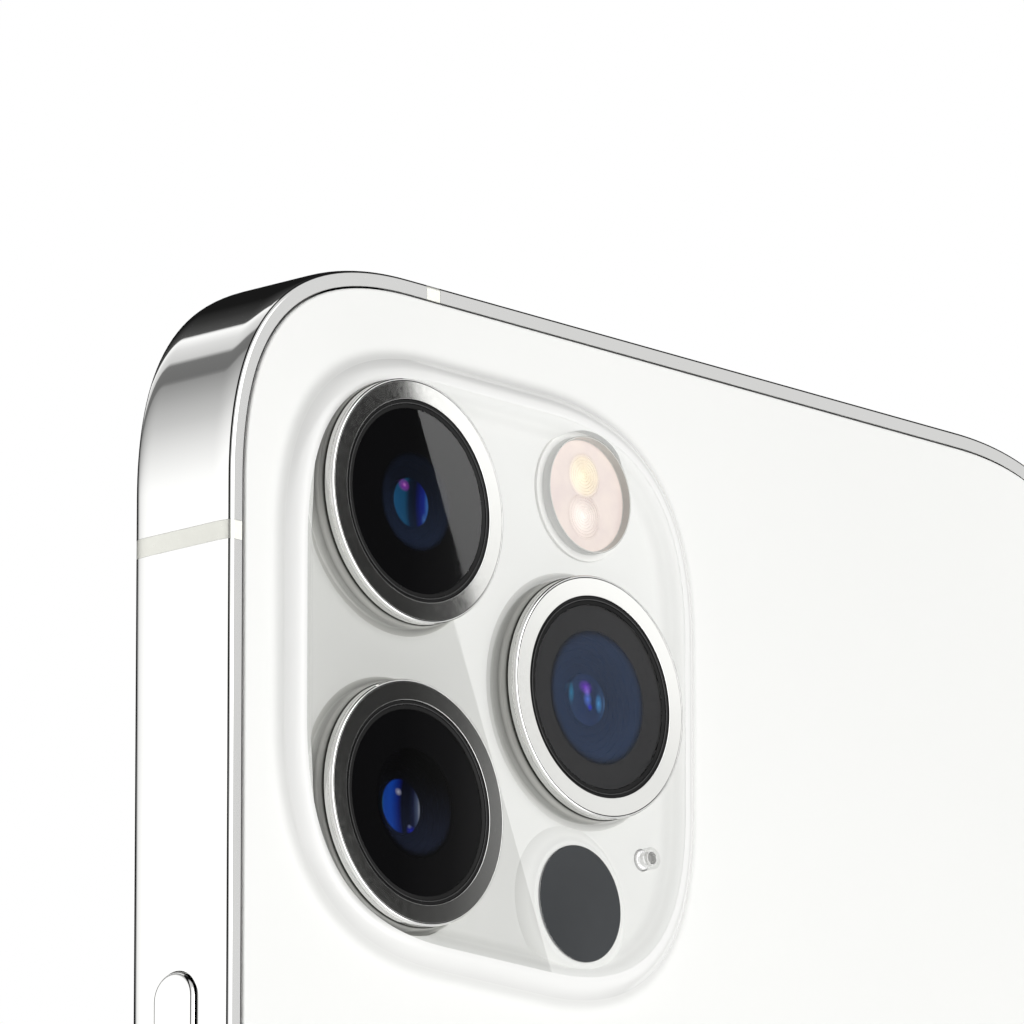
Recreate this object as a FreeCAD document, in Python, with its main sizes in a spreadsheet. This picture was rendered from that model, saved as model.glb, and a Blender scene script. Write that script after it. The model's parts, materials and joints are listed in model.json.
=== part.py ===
"""Flat-sided smartphone as an assembly of separate pieces, in millimetres.

Frame: +X is the side of the side button, +Y is the camera side, +Z is up. The origin is the centre of
the bottom edge, halfway between the two glass faces, so the phone stands upright on its bottom edge.
"""

import FreeCAD, Part
import Sketcher
import math
import os
from types import SimpleNamespace

SIZES = [
    ("body_height", 146.7, "height over the metal band"),
    ("body_width", 71.5, "width over the metal band"),
    ("glass_depth", 7.4, "depth from the screen glass to the rear glass"),
    ("band_depth", 7.1, "depth of the metal band"),
    ("corner_radius", 11.6, "outer corner radius of the band"),
    ("band_rounding", 0.3, "rounding of the band's outer edges"),
    ("rim_width", 0.87, "flat rim between the band's outside and the glass pocket"),
    ("wall_depth", 2.4, "depth from the band's outside to the inner cavity"),
    ("gasket_gap", 0.09, "gap between the glass edge and the rim"),
    ("gasket_thickness", 0.1, "gasket under the edge of each glass"),
    ("lip_drop", 0.22, "how far the gasket's lip stays below the glass face"),
    ("glass_thickness", 0.65, "thickness of both glass sheets"),
    ("glass_rounding", 0.12, "rounding of the glass edges"),
    ("split_width", 1.05, "width of an antenna split"),
    ("side_split_drop", 16.33, "distance of the side splits from the top and bottom ends"),
    ("end_split_offset", 20.2, "distance of the end splits from the middle"),
    ("plate_front", 1.9, "distance of the middle plate's screen side from the middle plane"),
    ("plate_thickness", 0.4, "thickness of the middle plate"),
    ("notch_width", 36.0, "width of the sensor notch at the top of the display"),
    ("notch_drop", 6.8, "depth of the sensor notch below the cavity's top wall"),
    ("panel_thickness", 1.0, "thickness of the display panel"),
    ("panel_margin", 0.15, "gap between the display panel and the band's ledge"),
    ("film_margin", 0.25, "gap between the rear film and the band's ledge"),
    ("board_gap", 0.05, "air between the middle plate and what lies on it"),
    ("board_left", 31.6, "distance of the logic board's outer edge from the middle"),
    ("board_width", 17.4, "width of the logic board"),
    ("board_low", 22.0, "lower end of the logic board"),
    ("board_length", 84.0, "length of the logic board"),
    ("board_thickness", 0.6, "thickness of the logic board"),
    ("shield_height", 1.85, "height of the shielding cans"),
    ("battery_left", 13.2, "distance of the battery's inner edge from the middle"),
    ("battery_width", 44.8, "width of the battery"),
    ("battery_low", 22.0, "lower end of the battery"),
    ("battery_length", 77.0, "length of the battery"),
    ("battery_thickness", 3.6, "thickness of the battery"),
    ("ring_outer_radius", 27.0, "outer radius of the magnet ring"),
    ("ring_inner_radius", 22.8, "inner radius of the magnet ring"),
    ("magnet_gap", 0.4, "gap between two magnets of the ring"),
    ("coil_outer_radius", 21.6, "outer radius of the charging coil"),
    ("coil_inner_radius", 9.6, "inner radius of the charging coil"),
    ("coil_level", 2.3, "level of the underside of the coil and the magnets"),
    ("coil_thickness", 0.5, "thickness of the coil and the magnets"),
    ("button_width", 3.1, "width of the buttons' recesses"),
    ("button_gap", 0.1, "gap around a button"),
    ("button_recess", 1.6, "depth of the buttons' recesses"),
    ("button_stand_out", 0.4, "how far a button stands out of the band"),
    ("button_room", 0.4, "free depth behind a button's cap"),
    ("button_rounding", 0.2, "rounding of a button's outer edge"),
    ("button_offset", 0.2, "how far the buttons lie towards the screen"),
    ("pin_radius", 0.8, "radius of the pin that presses the switch"),
    ("guide_radius", 0.5, "radius of the two guide pins"),
    ("guide_inset", 2.0, "distance of a guide pin from the end of its button"),
    ("pin_gap", 0.1, "gap around the pins"),
    ("pin_reach", 0.1, "how far the pins reach into the cavity"),
    ("switch_gap", 0.3, "air between a pin and its switch"),
    ("side_button_top", 107.0, "upper end of the side button's recess"),
    ("side_button_length", 17.6, "length of the side button's recess"),
    ("volume_length", 10.2, "length of a volume button's recess"),
    ("volume_up_level", 105.6, "middle of the volume up button"),
    ("volume_down_level", 92.2, "middle of the volume down button"),
    ("ringer_level", 119.4, "middle of the ring switch"),
    ("ringer_length", 6.3, "length of the ring switch's recess"),
    ("ringer_tab", 1.7, "width of the ring switch's tab"),
    ("ringer_travel", 1.2, "travel of the ring switch"),
    ("ringer_recess", 0.9, "depth of the ring switch's recess"),
    ("ringer_stem", 0.9, "half length of the ring switch's stem"),
    ("door_level", 73.0, "middle of the SIM tray's door"),
    ("door_length", 15.5, "length of the opening for the SIM tray's door"),
    ("door_width", 2.3, "width of the opening for the SIM tray's door"),
    ("door_depth", 1.4, "depth of the SIM tray's door"),
    ("door_gap", 0.07, "gap around the SIM tray's door"),
    ("door_pin_drop", 6.1, "distance of the eject hole below the door's middle"),
    ("door_pin_radius", 0.4, "radius of the eject hole"),
    ("tray_rise", 1.5, "distance of the tray's middle above the door's middle"),
    ("tray_width", 10.6, "width of the SIM tray"),
    ("tray_length", 16.0, "length of the SIM tray behind its door"),
    ("tray_thickness", 0.9, "thickness of the SIM tray"),
    ("tray_gap", 0.12, "gap around the SIM tray"),
    ("card_width", 8.8, "width of the SIM card"),
    ("card_length", 12.3, "length of the SIM card"),
    ("card_thickness", 0.67, "thickness of the SIM card"),
    ("card_gap", 0.1, "gap around the SIM card in its tray"),
    ("port_width", 8.94, "width of the charging port's shell"),
    ("port_height", 3.16, "height of the charging port's shell"),
    ("port_wall", 0.3, "wall of the charging port's shell"),
    ("port_setback", 0.35, "distance of the shell's mouth from the bottom edge"),
    ("port_depth", 7.2, "depth of the charging port's shell"),
    ("tongue_width", 6.7, "width of the charging port's tongue"),
    ("tongue_thickness", 0.7, "thickness of the charging port's tongue"),
    ("screw_offset", 6.9, "distance of the two bottom screws from the middle"),
    ("screw_head_radius", 0.85, "radius of the bottom screws' heads"),
    ("screw_head_height", 0.6, "height of the bottom screws' heads"),
    ("screw_setback", 0.12, "distance of the screw heads from the bottom edge"),
    ("screw_radius", 0.5, "radius of the bottom screws"),
    ("sound_hole_radius", 0.72, "radius of a sound hole"),
    ("sound_hole_first", 10.2, "distance of the first sound hole from the middle"),
    ("sound_hole_pitch", 2.5, "distance between two sound holes"),
    ("mesh_thickness", 0.2, "thickness of the dust meshes"),
    ("plateau_x", 16.215, "middle of the camera plateau"),
    ("plateau_z", 125.54, "height of the camera plateau's middle"),
    ("plateau_width", 32.07, "width of the camera plateau at its foot"),
    ("plateau_length", 33.34, "height of the camera plateau at its foot"),
    ("plateau_radius", 10.2, "corner radius of the camera plateau at its foot"),
    ("plateau_height", 0.9, "height of the camera plateau above the rear glass"),
    ("plateau_slope", 1.2, "width of the slope around the camera plateau"),
    ("plateau_rounding", 0.5, "rounding at the head of the slope"),
    ("tele_x", 23.5, "telephoto camera, across"),
    ("tele_z", 133.8, "telephoto camera, height"),
    ("tele_pupil", 0.64, "telephoto camera, depth of the front element below the cover lens"),
    ("wide_x", 23.5, "main camera, across"),
    ("wide_z", 117.3, "main camera, height"),
    ("wide_pupil", 1.37, "main camera, depth of the front element below the cover lens"),
    ("ultra_x", 9.3, "ultra-wide camera, across"),
    ("ultra_z", 125.6, "ultra-wide camera, height"),
    ("ultra_pupil", 1.1, "ultra-wide camera, depth of the front element below the cover lens"),
    ("trim_radius", 6.65, "outer radius of a lens trim ring"),
    ("trim_face", 5.6, "level of the trim rings' outer faces"),
    ("trim_chamfer", 0.1, "chamfer of the trim rings' outer edges"),
    ("trim_bevel", 0.18, "bevel between a trim ring and its cover lens"),
    ("trim_seat", 4.9, "inner radius of a trim ring below its cover lens"),
    ("flange_radius", 7.3, "radius of a trim ring's flange under the glass"),
    ("flange_thickness", 0.5, "thickness of a trim ring's flange"),
    ("cover_radius", 5.44, "radius of a cover lens"),
    ("cover_thickness", 0.5, "thickness of a cover lens"),
    ("cover_setback", 0.1, "distance of a cover lens below its trim ring's face"),
    ("barrel_radius", 4.1, "outer radius of a lens barrel"),
    ("barrel_foot", 0.5, "level of the barrels' lower ends"),
    ("barrel_bore", 3.15, "radius of the lens elements inside a barrel"),
    ("barrel_front", 0.5, "thickness of a barrel's front wall"),
    ("pupil_radius", 1.45, "radius of the opening in a barrel's front wall"),
    ("element_height", 1.5, "height of the front lens element"),
    ("element_gap", 0.03, "gap between the front element and the barrel's opening"),
    ("housing_size", 11.0, "edge of a camera housing"),
    ("housing_bore", 4.4, "bore of a camera housing"),
    ("housing_back", 2.45, "level of the camera housings' rear faces"),
    ("housing_floor", 0.8, "thickness of a camera housing's floor"),
    ("sensor_thickness", 0.5, "thickness of an image sensor"),
    ("bracket_thickness", 0.4, "thickness of the camera bracket"),
    ("bracket_margin", 1.6, "distance of the bracket's edge inside the plateau's foot"),
    ("post_radius", 1.0, "radius of the bracket's posts"),
    ("post_left", 3.07, "two of the bracket's posts, across"),
    ("bracket_screw_radius", 0.5, "radius of the bracket's screws"),
    ("bracket_head_radius", 0.9, "radius of the bracket screws' heads"),
    ("bracket_head_height", 0.35, "height of the bracket screws' heads"),
    ("lidar_x", 9.78, "depth scanner, across"),
    ("lidar_z", 114.28, "depth scanner, height"),
    ("lidar_radius", 3.18, "radius of the depth scanner's window"),
    ("flash_x", 8.97, "flash, across"),
    ("flash_z", 137.06, "flash, height"),
    ("flash_radius", 3.22, "radius of the flash lens"),
    ("window_thickness", 0.6, "thickness of the flash lens and the scanner's window"),
    ("microphone_x", 4.09, "rear microphone, across"),
    ("microphone_z", 117.76, "rear microphone, height"),
    ("microphone_radius", 0.4, "radius of the rear microphone's hole"),
    ("ear_level", 143.5, "height of the earpiece slot"),
    ("ear_length", 11.0, "length of the earpiece slot"),
    ("ear_width", 0.9, "width of the earpiece slot"),
    ("haptic_left", 29.5, "distance of the vibration motor's outer end from the middle"),
    ("haptic_low", 5.5, "lower side of the vibration motor"),
    ("haptic_length", 22.0, "length of the vibration motor"),
    ("haptic_width", 11.0, "width of the vibration motor"),
    ("haptic_thickness", 3.4, "thickness of the vibration motor"),
    ("case_wall", 0.3, "wall of the vibration motor's case"),
    ("haptic_mass_length", 17.0, "length of the vibration motor's moving mass"),
    ("haptic_mass_width", 9.6, "width of the vibration motor's moving mass"),
    ("haptic_mass_thickness", 1.9, "thickness of the vibration motor's moving mass"),
    ("speaker_left", 7.6, "inner end of the loudspeaker box"),
    ("speaker_low", 2.95, "lower side of the loudspeaker box"),
    ("speaker_length", 19.0, "length of the loudspeaker box"),
    ("speaker_width", 17.0, "width of the loudspeaker box"),
    ("speaker_thickness", 3.5, "thickness of the loudspeaker box"),
    ("speaker_wall", 0.6, "wall of the loudspeaker box"),
]

document = FreeCAD.newDocument("smartphone")
sheet = document.addObject("Spreadsheet::Sheet", "sizes")
for row, (alias, number, meaning) in enumerate(SIZES, start=1):
    sheet.set(f"A{row}", meaning)
    sheet.set(f"B{row}", str(number))
    sheet.setAlias(f"B{row}", alias)
document.recompute()


class Size:
    """A length that knows its value and the expression that gives it in the document."""

    def __init__(self, value, text):
        self.value = value
        self.text = text

    def __add__(self, other):
        other = as_size(other)
        return Size(self.value + other.value, f"({self.text} + {other.text})")

    def __sub__(self, other):
        other = as_size(other)
        return Size(self.value - other.value, f"({self.text} - {other.text})")

    def __mul__(self, factor):
        return Size(self.value * factor, f"({self.text} * {factor})")

    def __truediv__(self, factor):
        return Size(self.value / factor, f"({self.text} / {factor})")

    def __neg__(self):
        return Size(-self.value, f"(0 - {self.text})")

    def __rsub__(self, other):
        return as_size(other) - self

    __radd__ = __add__
    __rmul__ = __mul__


def as_size(number):
    """Gives a plain number the same form as a size of the sheet."""
    if isinstance(number, Size):
        return number
    return Size(float(number), f"({float(number)})")


d = SimpleNamespace(**{alias: Size(float(getattr(sheet, alias)), f"sizes.{alias}") for alias, _, _ in SIZES})

# Levels that many pieces share: y runs from the screen side to the camera side.
HALF_WIDTH = d.body_width / 2
MID_HEIGHT = d.body_height / 2
BAND_BACK = d.band_depth / 2
GLASS_FACE = d.glass_depth / 2
GLASS_INNER = GLASS_FACE - d.glass_thickness
LEDGE = GLASS_INNER - d.gasket_thickness
PLATE_BACK = d.plate_thickness - d.plate_front
DECK = PLATE_BACK + d.board_gap
PLATEAU_FACE = GLASS_FACE + d.plateau_height
COVER_FACE = d.trim_face - d.cover_setback
COVER_INNER = COVER_FACE - d.cover_thickness
LENSES = {
    "tele": (d.tele_x, d.tele_z, d.tele_pupil),
    "wide": (d.wide_x, d.wide_z, d.wide_pupil),
    "ultra_wide": (d.ultra_x, d.ultra_z, d.ultra_pupil),
}
ORIGIN_POINT = (-1, 1)


def bind(item, path, size):
    """Binds one property of an object to the sheet."""
    item.setExpression(path, as_size(size).text)


def place(item, x=0, y=0, z=0, axis=(0, 0, 1), degrees=0):
    """Carries a sub-part to its place, with its position bound to the sheet."""
    turn = FreeCAD.Rotation(FreeCAD.Vector(*axis), degrees)
    item.Placement = FreeCAD.Placement(FreeCAD.Vector(), turn)
    for name, size in (("x", x), ("y", y), ("z", z)):
        bind(item, f".Placement.Base.{name}", size)
    return item


def new_body(label):
    body = document.addObject("PartDesign::Body", label)
    body.Label = label
    return body


# Outlines: each function returns one that draws and dimensions an outline in a sketch.


def fix_point(sketch, curve, point, x, y):
    """Dimensions a curve's point from the sketch's origin, bound to the sheet."""
    for kind, size in (("DistanceX", as_size(x)), ("DistanceY", as_size(y))):
        number = sketch.addConstraint(Sketcher.Constraint(kind, *ORIGIN_POINT, curve, point, size.value))
        bind(sketch, f"Constraints[{number}]", size)


def circle(radius, x=0, y=0):
    def draw(sketch):
        centre = FreeCAD.Vector(as_size(x).value, as_size(y).value, 0)
        curve = sketch.addGeometry(Part.Circle(centre, FreeCAD.Vector(0, 0, 1), radius.value), False)
        number = sketch.addConstraint(Sketcher.Constraint("Radius", curve, radius.value))
        bind(sketch, f"Constraints[{number}]", radius)
        fix_point(sketch, curve, 3, x, y)

    return draw


def polygon(points):
    """A closed outline of straight lines through points, each bound to the sheet."""

    def draw(sketch):
        places = [FreeCAD.Vector(as_size(x).value, as_size(y).value, 0) for x, y in points]
        count = len(places)
        curves = []
        for i in range(count):
            curves.append(sketch.addGeometry(Part.LineSegment(places[i], places[(i + 1) % count]), False))
        for i in range(count):
            sketch.addConstraint(Sketcher.Constraint("Coincident", curves[i], 2, curves[(i + 1) % count], 1))
            fix_point(sketch, curves[i], 1, *points[i])

    return draw


def box(width, height, x=0, y=0):
    w = as_size(width) / 2
    h = as_size(height) / 2
    return polygon([(x - w, y - h), (x + w, y - h), (x + w, y + h), (x - w, y + h)])


def rounded_box(width, height, radius, x=0, y=0):
    """A rectangle with round corners that leave a straight stretch on every side."""
    w = as_size(width) / 2
    h = as_size(height) / 2
    r = as_size(radius)

    def draw(sketch):
        # Each corner has its arc's centre and the angle at which the arc starts.
        corners = [(x + w - r, y + h - r, 0), (x - w + r, y + h - r, 90),
                   (x - w + r, y - h + r, 180), (x + w - r, y - h + r, 270)]
        arcs = []
        for across, up, start in corners:
            centre = FreeCAD.Vector(as_size(across).value, as_size(up).value, 0)
            whole = Part.Circle(centre, FreeCAD.Vector(0, 0, 1), r.value)
            arc = Part.ArcOfCircle(whole, math.radians(start), math.radians(start + 90))
            arcs.append(sketch.addGeometry(arc, False))
        for i, (across, up, _) in enumerate(corners):
            following = arcs[(i + 1) % 4]
            begin = sketch.getPoint(arcs[i], 2)
            finish = sketch.getPoint(following, 1)
            fix_point(sketch, arcs[i], 3, across, up)
            number = sketch.addConstraint(Sketcher.Constraint("Radius", arcs[i], r.value))
            bind(sketch, f"Constraints[{number}]", r)
            side = sketch.addGeometry(Part.LineSegment(begin, finish), False)
            sketch.addConstraint(Sketcher.Constraint("Tangent", arcs[i], 2, side, 1))
            sketch.addConstraint(Sketcher.Constraint("Tangent", side, 2, following, 1))

    return draw


def slot(length, width, x=0, y=0, upright=True):
    """A slot with round ends, upright or lying."""
    r = as_size(width) / 2
    reach = as_size(length) / 2 - r
    if upright:
        ends = [(x, y + reach, 0), (x, y - reach, 180)]
    else:
        ends = [(x - reach, y, 90), (x + reach, y, 270)]

    def draw(sketch):
        arcs = []
        for across, up, start in ends:
            centre = FreeCAD.Vector(as_size(across).value, as_size(up).value, 0)
            whole = Part.Circle(centre, FreeCAD.Vector(0, 0, 1), r.value)
            arc = Part.ArcOfCircle(whole, math.radians(start), math.radians(start + 180))
            arcs.append(sketch.addGeometry(arc, False))
            fix_point(sketch, arcs[-1], 3, across, up)
            number = sketch.addConstraint(Sketcher.Constraint("Radius", arcs[-1], r.value))
            bind(sketch, f"Constraints[{number}]", r)
        for first, second in ((arcs[0], arcs[1]), (arcs[1], arcs[0])):
            begin = sketch.getPoint(first, 2)
            side = sketch.addGeometry(Part.LineSegment(begin, sketch.getPoint(second, 1)), False)
            sketch.addConstraint(Sketcher.Constraint("Tangent", first, 2, side, 1))
            sketch.addConstraint(Sketcher.Constraint("Tangent", side, 2, second, 1))

    return draw


def phone_outline(inset=0):
    """The phone's outline seen from behind, inset all round."""
    inset = as_size(inset)
    width = d.body_width - inset * 2
    height = d.body_height - inset * 2
    return rounded_box(width, height, d.corner_radius - inset, 0, MID_HEIGHT)


# Features: prisms and turned solids of a body.


def sketch_on(body, plane, draw, level):
    """A sketch on one of the body's origin planes, moved along the plane's axis to a level."""
    support = [feature for feature in body.Origin.OriginFeatures if feature.Role == plane][0]
    sketch = body.newObject("Sketcher::SketchObject", f"{body.Label}_sketch")
    sketch.AttachmentSupport = [(support, "")]
    sketch.MapMode = "FlatFace"
    level = as_size(level)
    bind(sketch, ".AttachmentOffset.Base.z", -level if plane == "XZ_Plane" else level)
    draw(sketch)
    return sketch


def extrude(kind, body, plane, draw, start, length):
    """A Pad or Pocket that runs from a level in the direction of the plane's axis."""
    sketch = sketch_on(body, plane, draw, start)
    feature = body.newObject(f"PartDesign::{kind}", f"{body.Label}_{kind.lower()}")
    feature.Profile = sketch
    bind(feature, "Length", length)
    feature.Reversed = (plane == "XZ_Plane") == (kind == "Pad")
    return feature


def pad(body, draw, start, length, plane="XZ_Plane"):
    return extrude("Pad", body, plane, draw, start, length)


def pocket(body, draw, start, length, plane="XZ_Plane"):
    return extrude("Pocket", body, plane, draw, start, length)


def revolve(body, points):
    """A solid turned about the body's Y axis, from points of radius and level."""
    sketch = sketch_on(body, "XY_Plane", polygon(points), 0)
    feature = body.newObject("PartDesign::Revolution", f"{body.Label}_turn")
    feature.Profile = sketch
    feature.ReferenceAxis = (sketch, ["V_Axis"])
    feature.Angle = 360
    return feature


def soften(body, radius, wanted):
    """Rounds the edges of the body so far whose bounding boxes are wanted."""
    document.recompute()
    base = body.Tip
    names = [f"Edge{i}" for i, edge in enumerate(base.Shape.Edges, start=1) if wanted(edge.BoundBox)]
    fillet = body.newObject("PartDesign::Fillet", f"{body.Label}_fillet")
    fillet.Base = (base, names)
    bind(fillet, "Radius", radius)
    return fillet


def level_with(axis, level):
    """Tells whether an edge lies wholly in the plane at a level of an axis."""
    number = as_size(level).value

    def wanted(bounds):
        low = getattr(bounds, f"{axis}Min")
        high = getattr(bounds, f"{axis}Max")
        return abs(low - number) < 0.001 and abs(high - number) < 0.001

    return wanted


def block(label, x, y, z, width, depth, height):
    """A Part box: x and z are its middle, and y is the level where it starts."""
    item = document.addObject("Part::Box", label)
    item.Label = label
    bind(item, "Length", width)
    bind(item, "Width", depth)
    bind(item, "Height", height)
    return place(item, as_size(x) - as_size(width) / 2, y, as_size(z) - as_size(height) / 2)


def rod(label, x, y, z, radius, length):
    """A Part cylinder along +Y that starts at y."""
    item = document.addObject("Part::Cylinder", label)
    item.Label = label
    bind(item, "Radius", radius)
    bind(item, "Height", length)
    return place(item, x, y, z, (1, 0, 0), -90)


def cut(label, base, tool):
    item = document.addObject("Part::Cut", label)
    item.Label = label
    item.Base = base
    item.Tool = tool
    return item


def join(label, items):
    item = document.addObject("Part::MultiFuse", label)
    item.Label = label
    item.Shapes = items
    return item


def group(label, items):
    """Separate solids that share one node."""
    item = document.addObject("Part::Compound", label)
    item.Label = label
    item.Links = items
    return item


# The metal band.


def side_cut(body, side, draw, outer, depth):
    """Cuts the band's side wall: from a depth below its outside, further inwards."""
    outer = as_size(outer)
    start = HALF_WIDTH - outer - depth if side > 0 else outer - HALF_WIDTH
    pocket(body, draw, start, depth, "YZ_Plane")


def cut_button_opening(body, side, level, length):
    """A recess for a button's cap, and three pin holes through the rest of the wall."""
    y = -d.button_offset
    side_cut(body, side, slot(length, d.button_width, y, level), 0, d.button_recess)
    rest = d.wall_depth - d.button_recess
    side_cut(body, side, circle(d.pin_radius + d.pin_gap, y, level), d.button_recess, rest)
    for end in (-1, 1):
        guide = level + end * (length / 2 - d.guide_inset)
        side_cut(body, side, circle(d.guide_radius + d.pin_gap, y, guide), d.button_recess, rest)


def cut_ringer_opening(body):
    """The ring switch slides across the band in a shallow recess with a slot for its stem."""
    side_cut(body, -1, slot(d.ringer_length, d.button_width, 0, d.ringer_level), 0, d.ringer_recess)
    stem_slot = box(d.ringer_stem * 2 + d.ringer_travel, d.ringer_stem * 2 + d.pin_gap * 4, 0, d.ringer_level)
    side_cut(body, -1, stem_slot, d.ringer_recess, d.wall_depth - d.ringer_recess)


def cut_tray_opening(body):
    """The SIM tray's door fills a rounded opening, and the tray passes through a narrower slot."""
    side_cut(body, -1, slot(d.door_length, d.door_width, 0, d.door_level), 0, d.door_depth)
    rest = d.wall_depth - d.door_depth
    tray_slot = box(d.tray_thickness + d.tray_gap * 2, d.tray_width + d.tray_gap * 2, 0,
                    d.door_level + d.tray_rise)
    side_cut(body, -1, tray_slot, d.door_depth, rest)
    side_cut(body, -1, circle(d.door_pin_radius, 0, d.door_level - d.door_pin_drop), d.door_depth, rest)


def cut_bottom_openings(body):
    """The charging port, two screws and two rows of sound holes."""
    wide_port = slot(d.port_width, d.port_height, upright=False)
    pocket(body, wide_port, 0, d.wall_depth, "XY_Plane")
    head_depth = d.screw_setback + d.screw_head_height
    for side in (-1, 1):
        x = side * d.screw_offset
        pocket(body, circle(d.screw_head_radius, x, 0), 0, head_depth, "XY_Plane")
        pocket(body, circle(d.screw_radius, x, 0), head_depth, d.wall_depth - head_depth, "XY_Plane")
    # The left row has fewer holes, because an antenna split crosses the band beside it.
    for side, count in ((1, 6), (-1, 4)):
        outline = circle(d.sound_hole_radius, side * d.sound_hole_first, 0)
        hole = pocket(body, outline, 0, d.wall_depth, "XY_Plane")
        document.recompute()
        row_of_holes = body.newObject("PartDesign::LinearPattern", f"{body.Label}_sound_holes")
        row_of_holes.Originals = [hole]
        row_of_holes.Direction = (hole.Profile[0], ["H_Axis"])
        row_of_holes.Reversed = side < 0
        bind(row_of_holes, "Length", d.sound_hole_pitch * (count - 1))
        row_of_holes.Occurrences = count
        body.Tip = row_of_holes


def make_band_blank():
    """The whole band before it is divided: a hollow frame with a ledge for each glass."""
    body = new_body("band_blank")
    pad(body, phone_outline(), -BAND_BACK, d.band_depth)
    soften(body, d.band_rounding, lambda bounds: bounds.YLength < 0.001)
    pocket(body, phone_outline(d.wall_depth), -BAND_BACK, d.band_depth)
    pocket(body, phone_outline(d.rim_width), LEDGE, BAND_BACK - LEDGE)
    pocket(body, phone_outline(d.rim_width), -BAND_BACK, BAND_BACK - LEDGE)
    side_middle = d.side_button_top - d.side_button_length / 2
    cut_button_opening(body, 1, side_middle, d.side_button_length)
    cut_button_opening(body, -1, d.volume_up_level, d.volume_length)
    cut_button_opening(body, -1, d.volume_down_level, d.volume_length)
    cut_ringer_opening(body)
    cut_tray_opening(body)
    cut_bottom_openings(body)
    return body


def zone(label, x_low, x_high, z_low, z_high):
    """A region of the band that is deeper than the band itself."""
    return block(label, (x_low + x_high) / 2, -d.band_depth, (z_low + z_high) / 2,
                 x_high - x_low, d.band_depth * 2, z_high - z_low)


def make_band():
    """Six metal lengths with six plastic splits between them."""
    blank = make_band_blank()
    half = d.split_width / 2
    out_left = -d.body_width
    out_right = d.body_width
    out_low = -d.corner_radius
    out_high = d.body_height + d.corner_radius
    low = d.side_split_drop
    high = d.body_height - d.side_split_drop
    top = d.end_split_offset
    bottom = -d.end_split_offset
    middle = as_size(0)
    lengths = {
        "right_rail": (middle, out_right, low + half, high - half),
        "left_rail": (out_left, middle, low + half, high - half),
        "top_right_corner": (top + half, out_right, high + half, out_high),
        "top_rail": (out_left, top - half, high + half, out_high),
        "bottom_left_corner": (out_left, bottom - half, out_low, low - half),
        "bottom_rail": (bottom + half, out_right, out_low, low - half),
    }
    pieces = []
    for label, limits in lengths.items():
        piece = document.addObject("Part::Common", label)
        piece.Label = label
        piece.Base = blank
        piece.Tool = zone(f"{label}_zone", *limits)
        pieces.append(piece)
    gaps = []
    for end, level in (("lower", low), ("upper", high)):
        gaps.append(zone(f"{end}_right_gap", middle, out_right, level - half, level + half))
        gaps.append(zone(f"{end}_left_gap", out_left, middle, level - half, level + half))
    gaps.append(zone("top_gap", top - half, top + half, high + half, out_high))
    gaps.append(zone("bottom_gap", bottom - half, bottom + half, out_low, low - half))
    splits = document.addObject("Part::Common", "antenna_splits")
    splits.Label = "antenna_splits"
    splits.Base = blank
    splits.Tool = group("split_zones", gaps)
    return pieces + [splits]


# The glass sheets, their gaskets and the plates between them.


def make_gasket(label, level, lip_level):
    """A flat ring under the glass with a thin lip in the gap around the glass."""
    body = new_body(label)
    base_level = level if level.value > 0 else level - d.gasket_thickness
    lip_base = level + d.gasket_thickness if level.value > 0 else -lip_level
    pad(body, phone_outline(d.rim_width), base_level, d.gasket_thickness)
    lip_height = lip_level - LEDGE - d.gasket_thickness
    pad(body, phone_outline(d.rim_width), lip_base, lip_height)
    pocket(body, phone_outline(d.rim_width + d.gasket_gap), lip_base, lip_height)
    pocket(body, phone_outline(d.wall_depth), base_level, d.gasket_thickness)
    return body


def make_rear_glass():
    """A flat sheet with a raised camera plateau, bored for the lenses, flash, scanner and microphone."""
    body = new_body("rear_glass")
    pad(body, phone_outline(d.rim_width + d.gasket_gap), GLASS_INNER, d.glass_thickness)
    soften(body, d.glass_rounding, level_with("Y", GLASS_FACE))
    foot = rounded_box(d.plateau_width, d.plateau_length, d.plateau_radius, d.plateau_x, d.plateau_z)
    plateau = pad(body, foot, GLASS_FACE, d.plateau_height)
    slope = math.degrees(math.atan2(d.plateau_slope.value, d.plateau_height.value))
    plateau.TaperAngle = -slope
    soften(body, d.plateau_rounding, level_with("Y", PLATEAU_FACE))
    depth = d.glass_thickness + d.plateau_height
    for x, z, _ in LENSES.values():
        pocket(body, circle(d.trim_radius, x, z), GLASS_INNER, depth)
    pocket(body, circle(d.flash_radius, d.flash_x, d.flash_z), GLASS_INNER, depth)
    pocket(body, circle(d.lidar_radius, d.lidar_x, d.lidar_z), GLASS_INNER, depth)
    pocket(body, circle(d.microphone_radius, d.microphone_x, d.microphone_z), GLASS_INNER, depth)
    return body


def make_rear_film():
    """The opaque film that is bonded to the inside of the rear glass."""
    body = new_body("rear_film")
    pad(body, phone_outline(d.wall_depth + d.film_margin), LEDGE, d.gasket_thickness)
    for x, z, _ in LENSES.values():
        pocket(body, circle(d.flange_radius, x, z), LEDGE, d.gasket_thickness)
    pocket(body, circle(d.flash_radius, d.flash_x, d.flash_z), LEDGE, d.gasket_thickness)
    pocket(body, circle(d.lidar_radius, d.lidar_x, d.lidar_z), LEDGE, d.gasket_thickness)
    pocket(body, circle(d.microphone_radius, d.microphone_x, d.microphone_z), LEDGE, d.gasket_thickness)
    return body


def make_front_glass():
    """A flat sheet with the earpiece slot."""
    body = new_body("front_glass")
    pad(body, phone_outline(d.rim_width + d.gasket_gap), -GLASS_FACE, d.glass_thickness)
    soften(body, d.glass_rounding, level_with("Y", -GLASS_FACE))
    ear = slot(d.ear_length, d.ear_width, 0, d.ear_level, upright=False)
    pocket(body, ear, -GLASS_FACE, d.glass_thickness)
    return body


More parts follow.
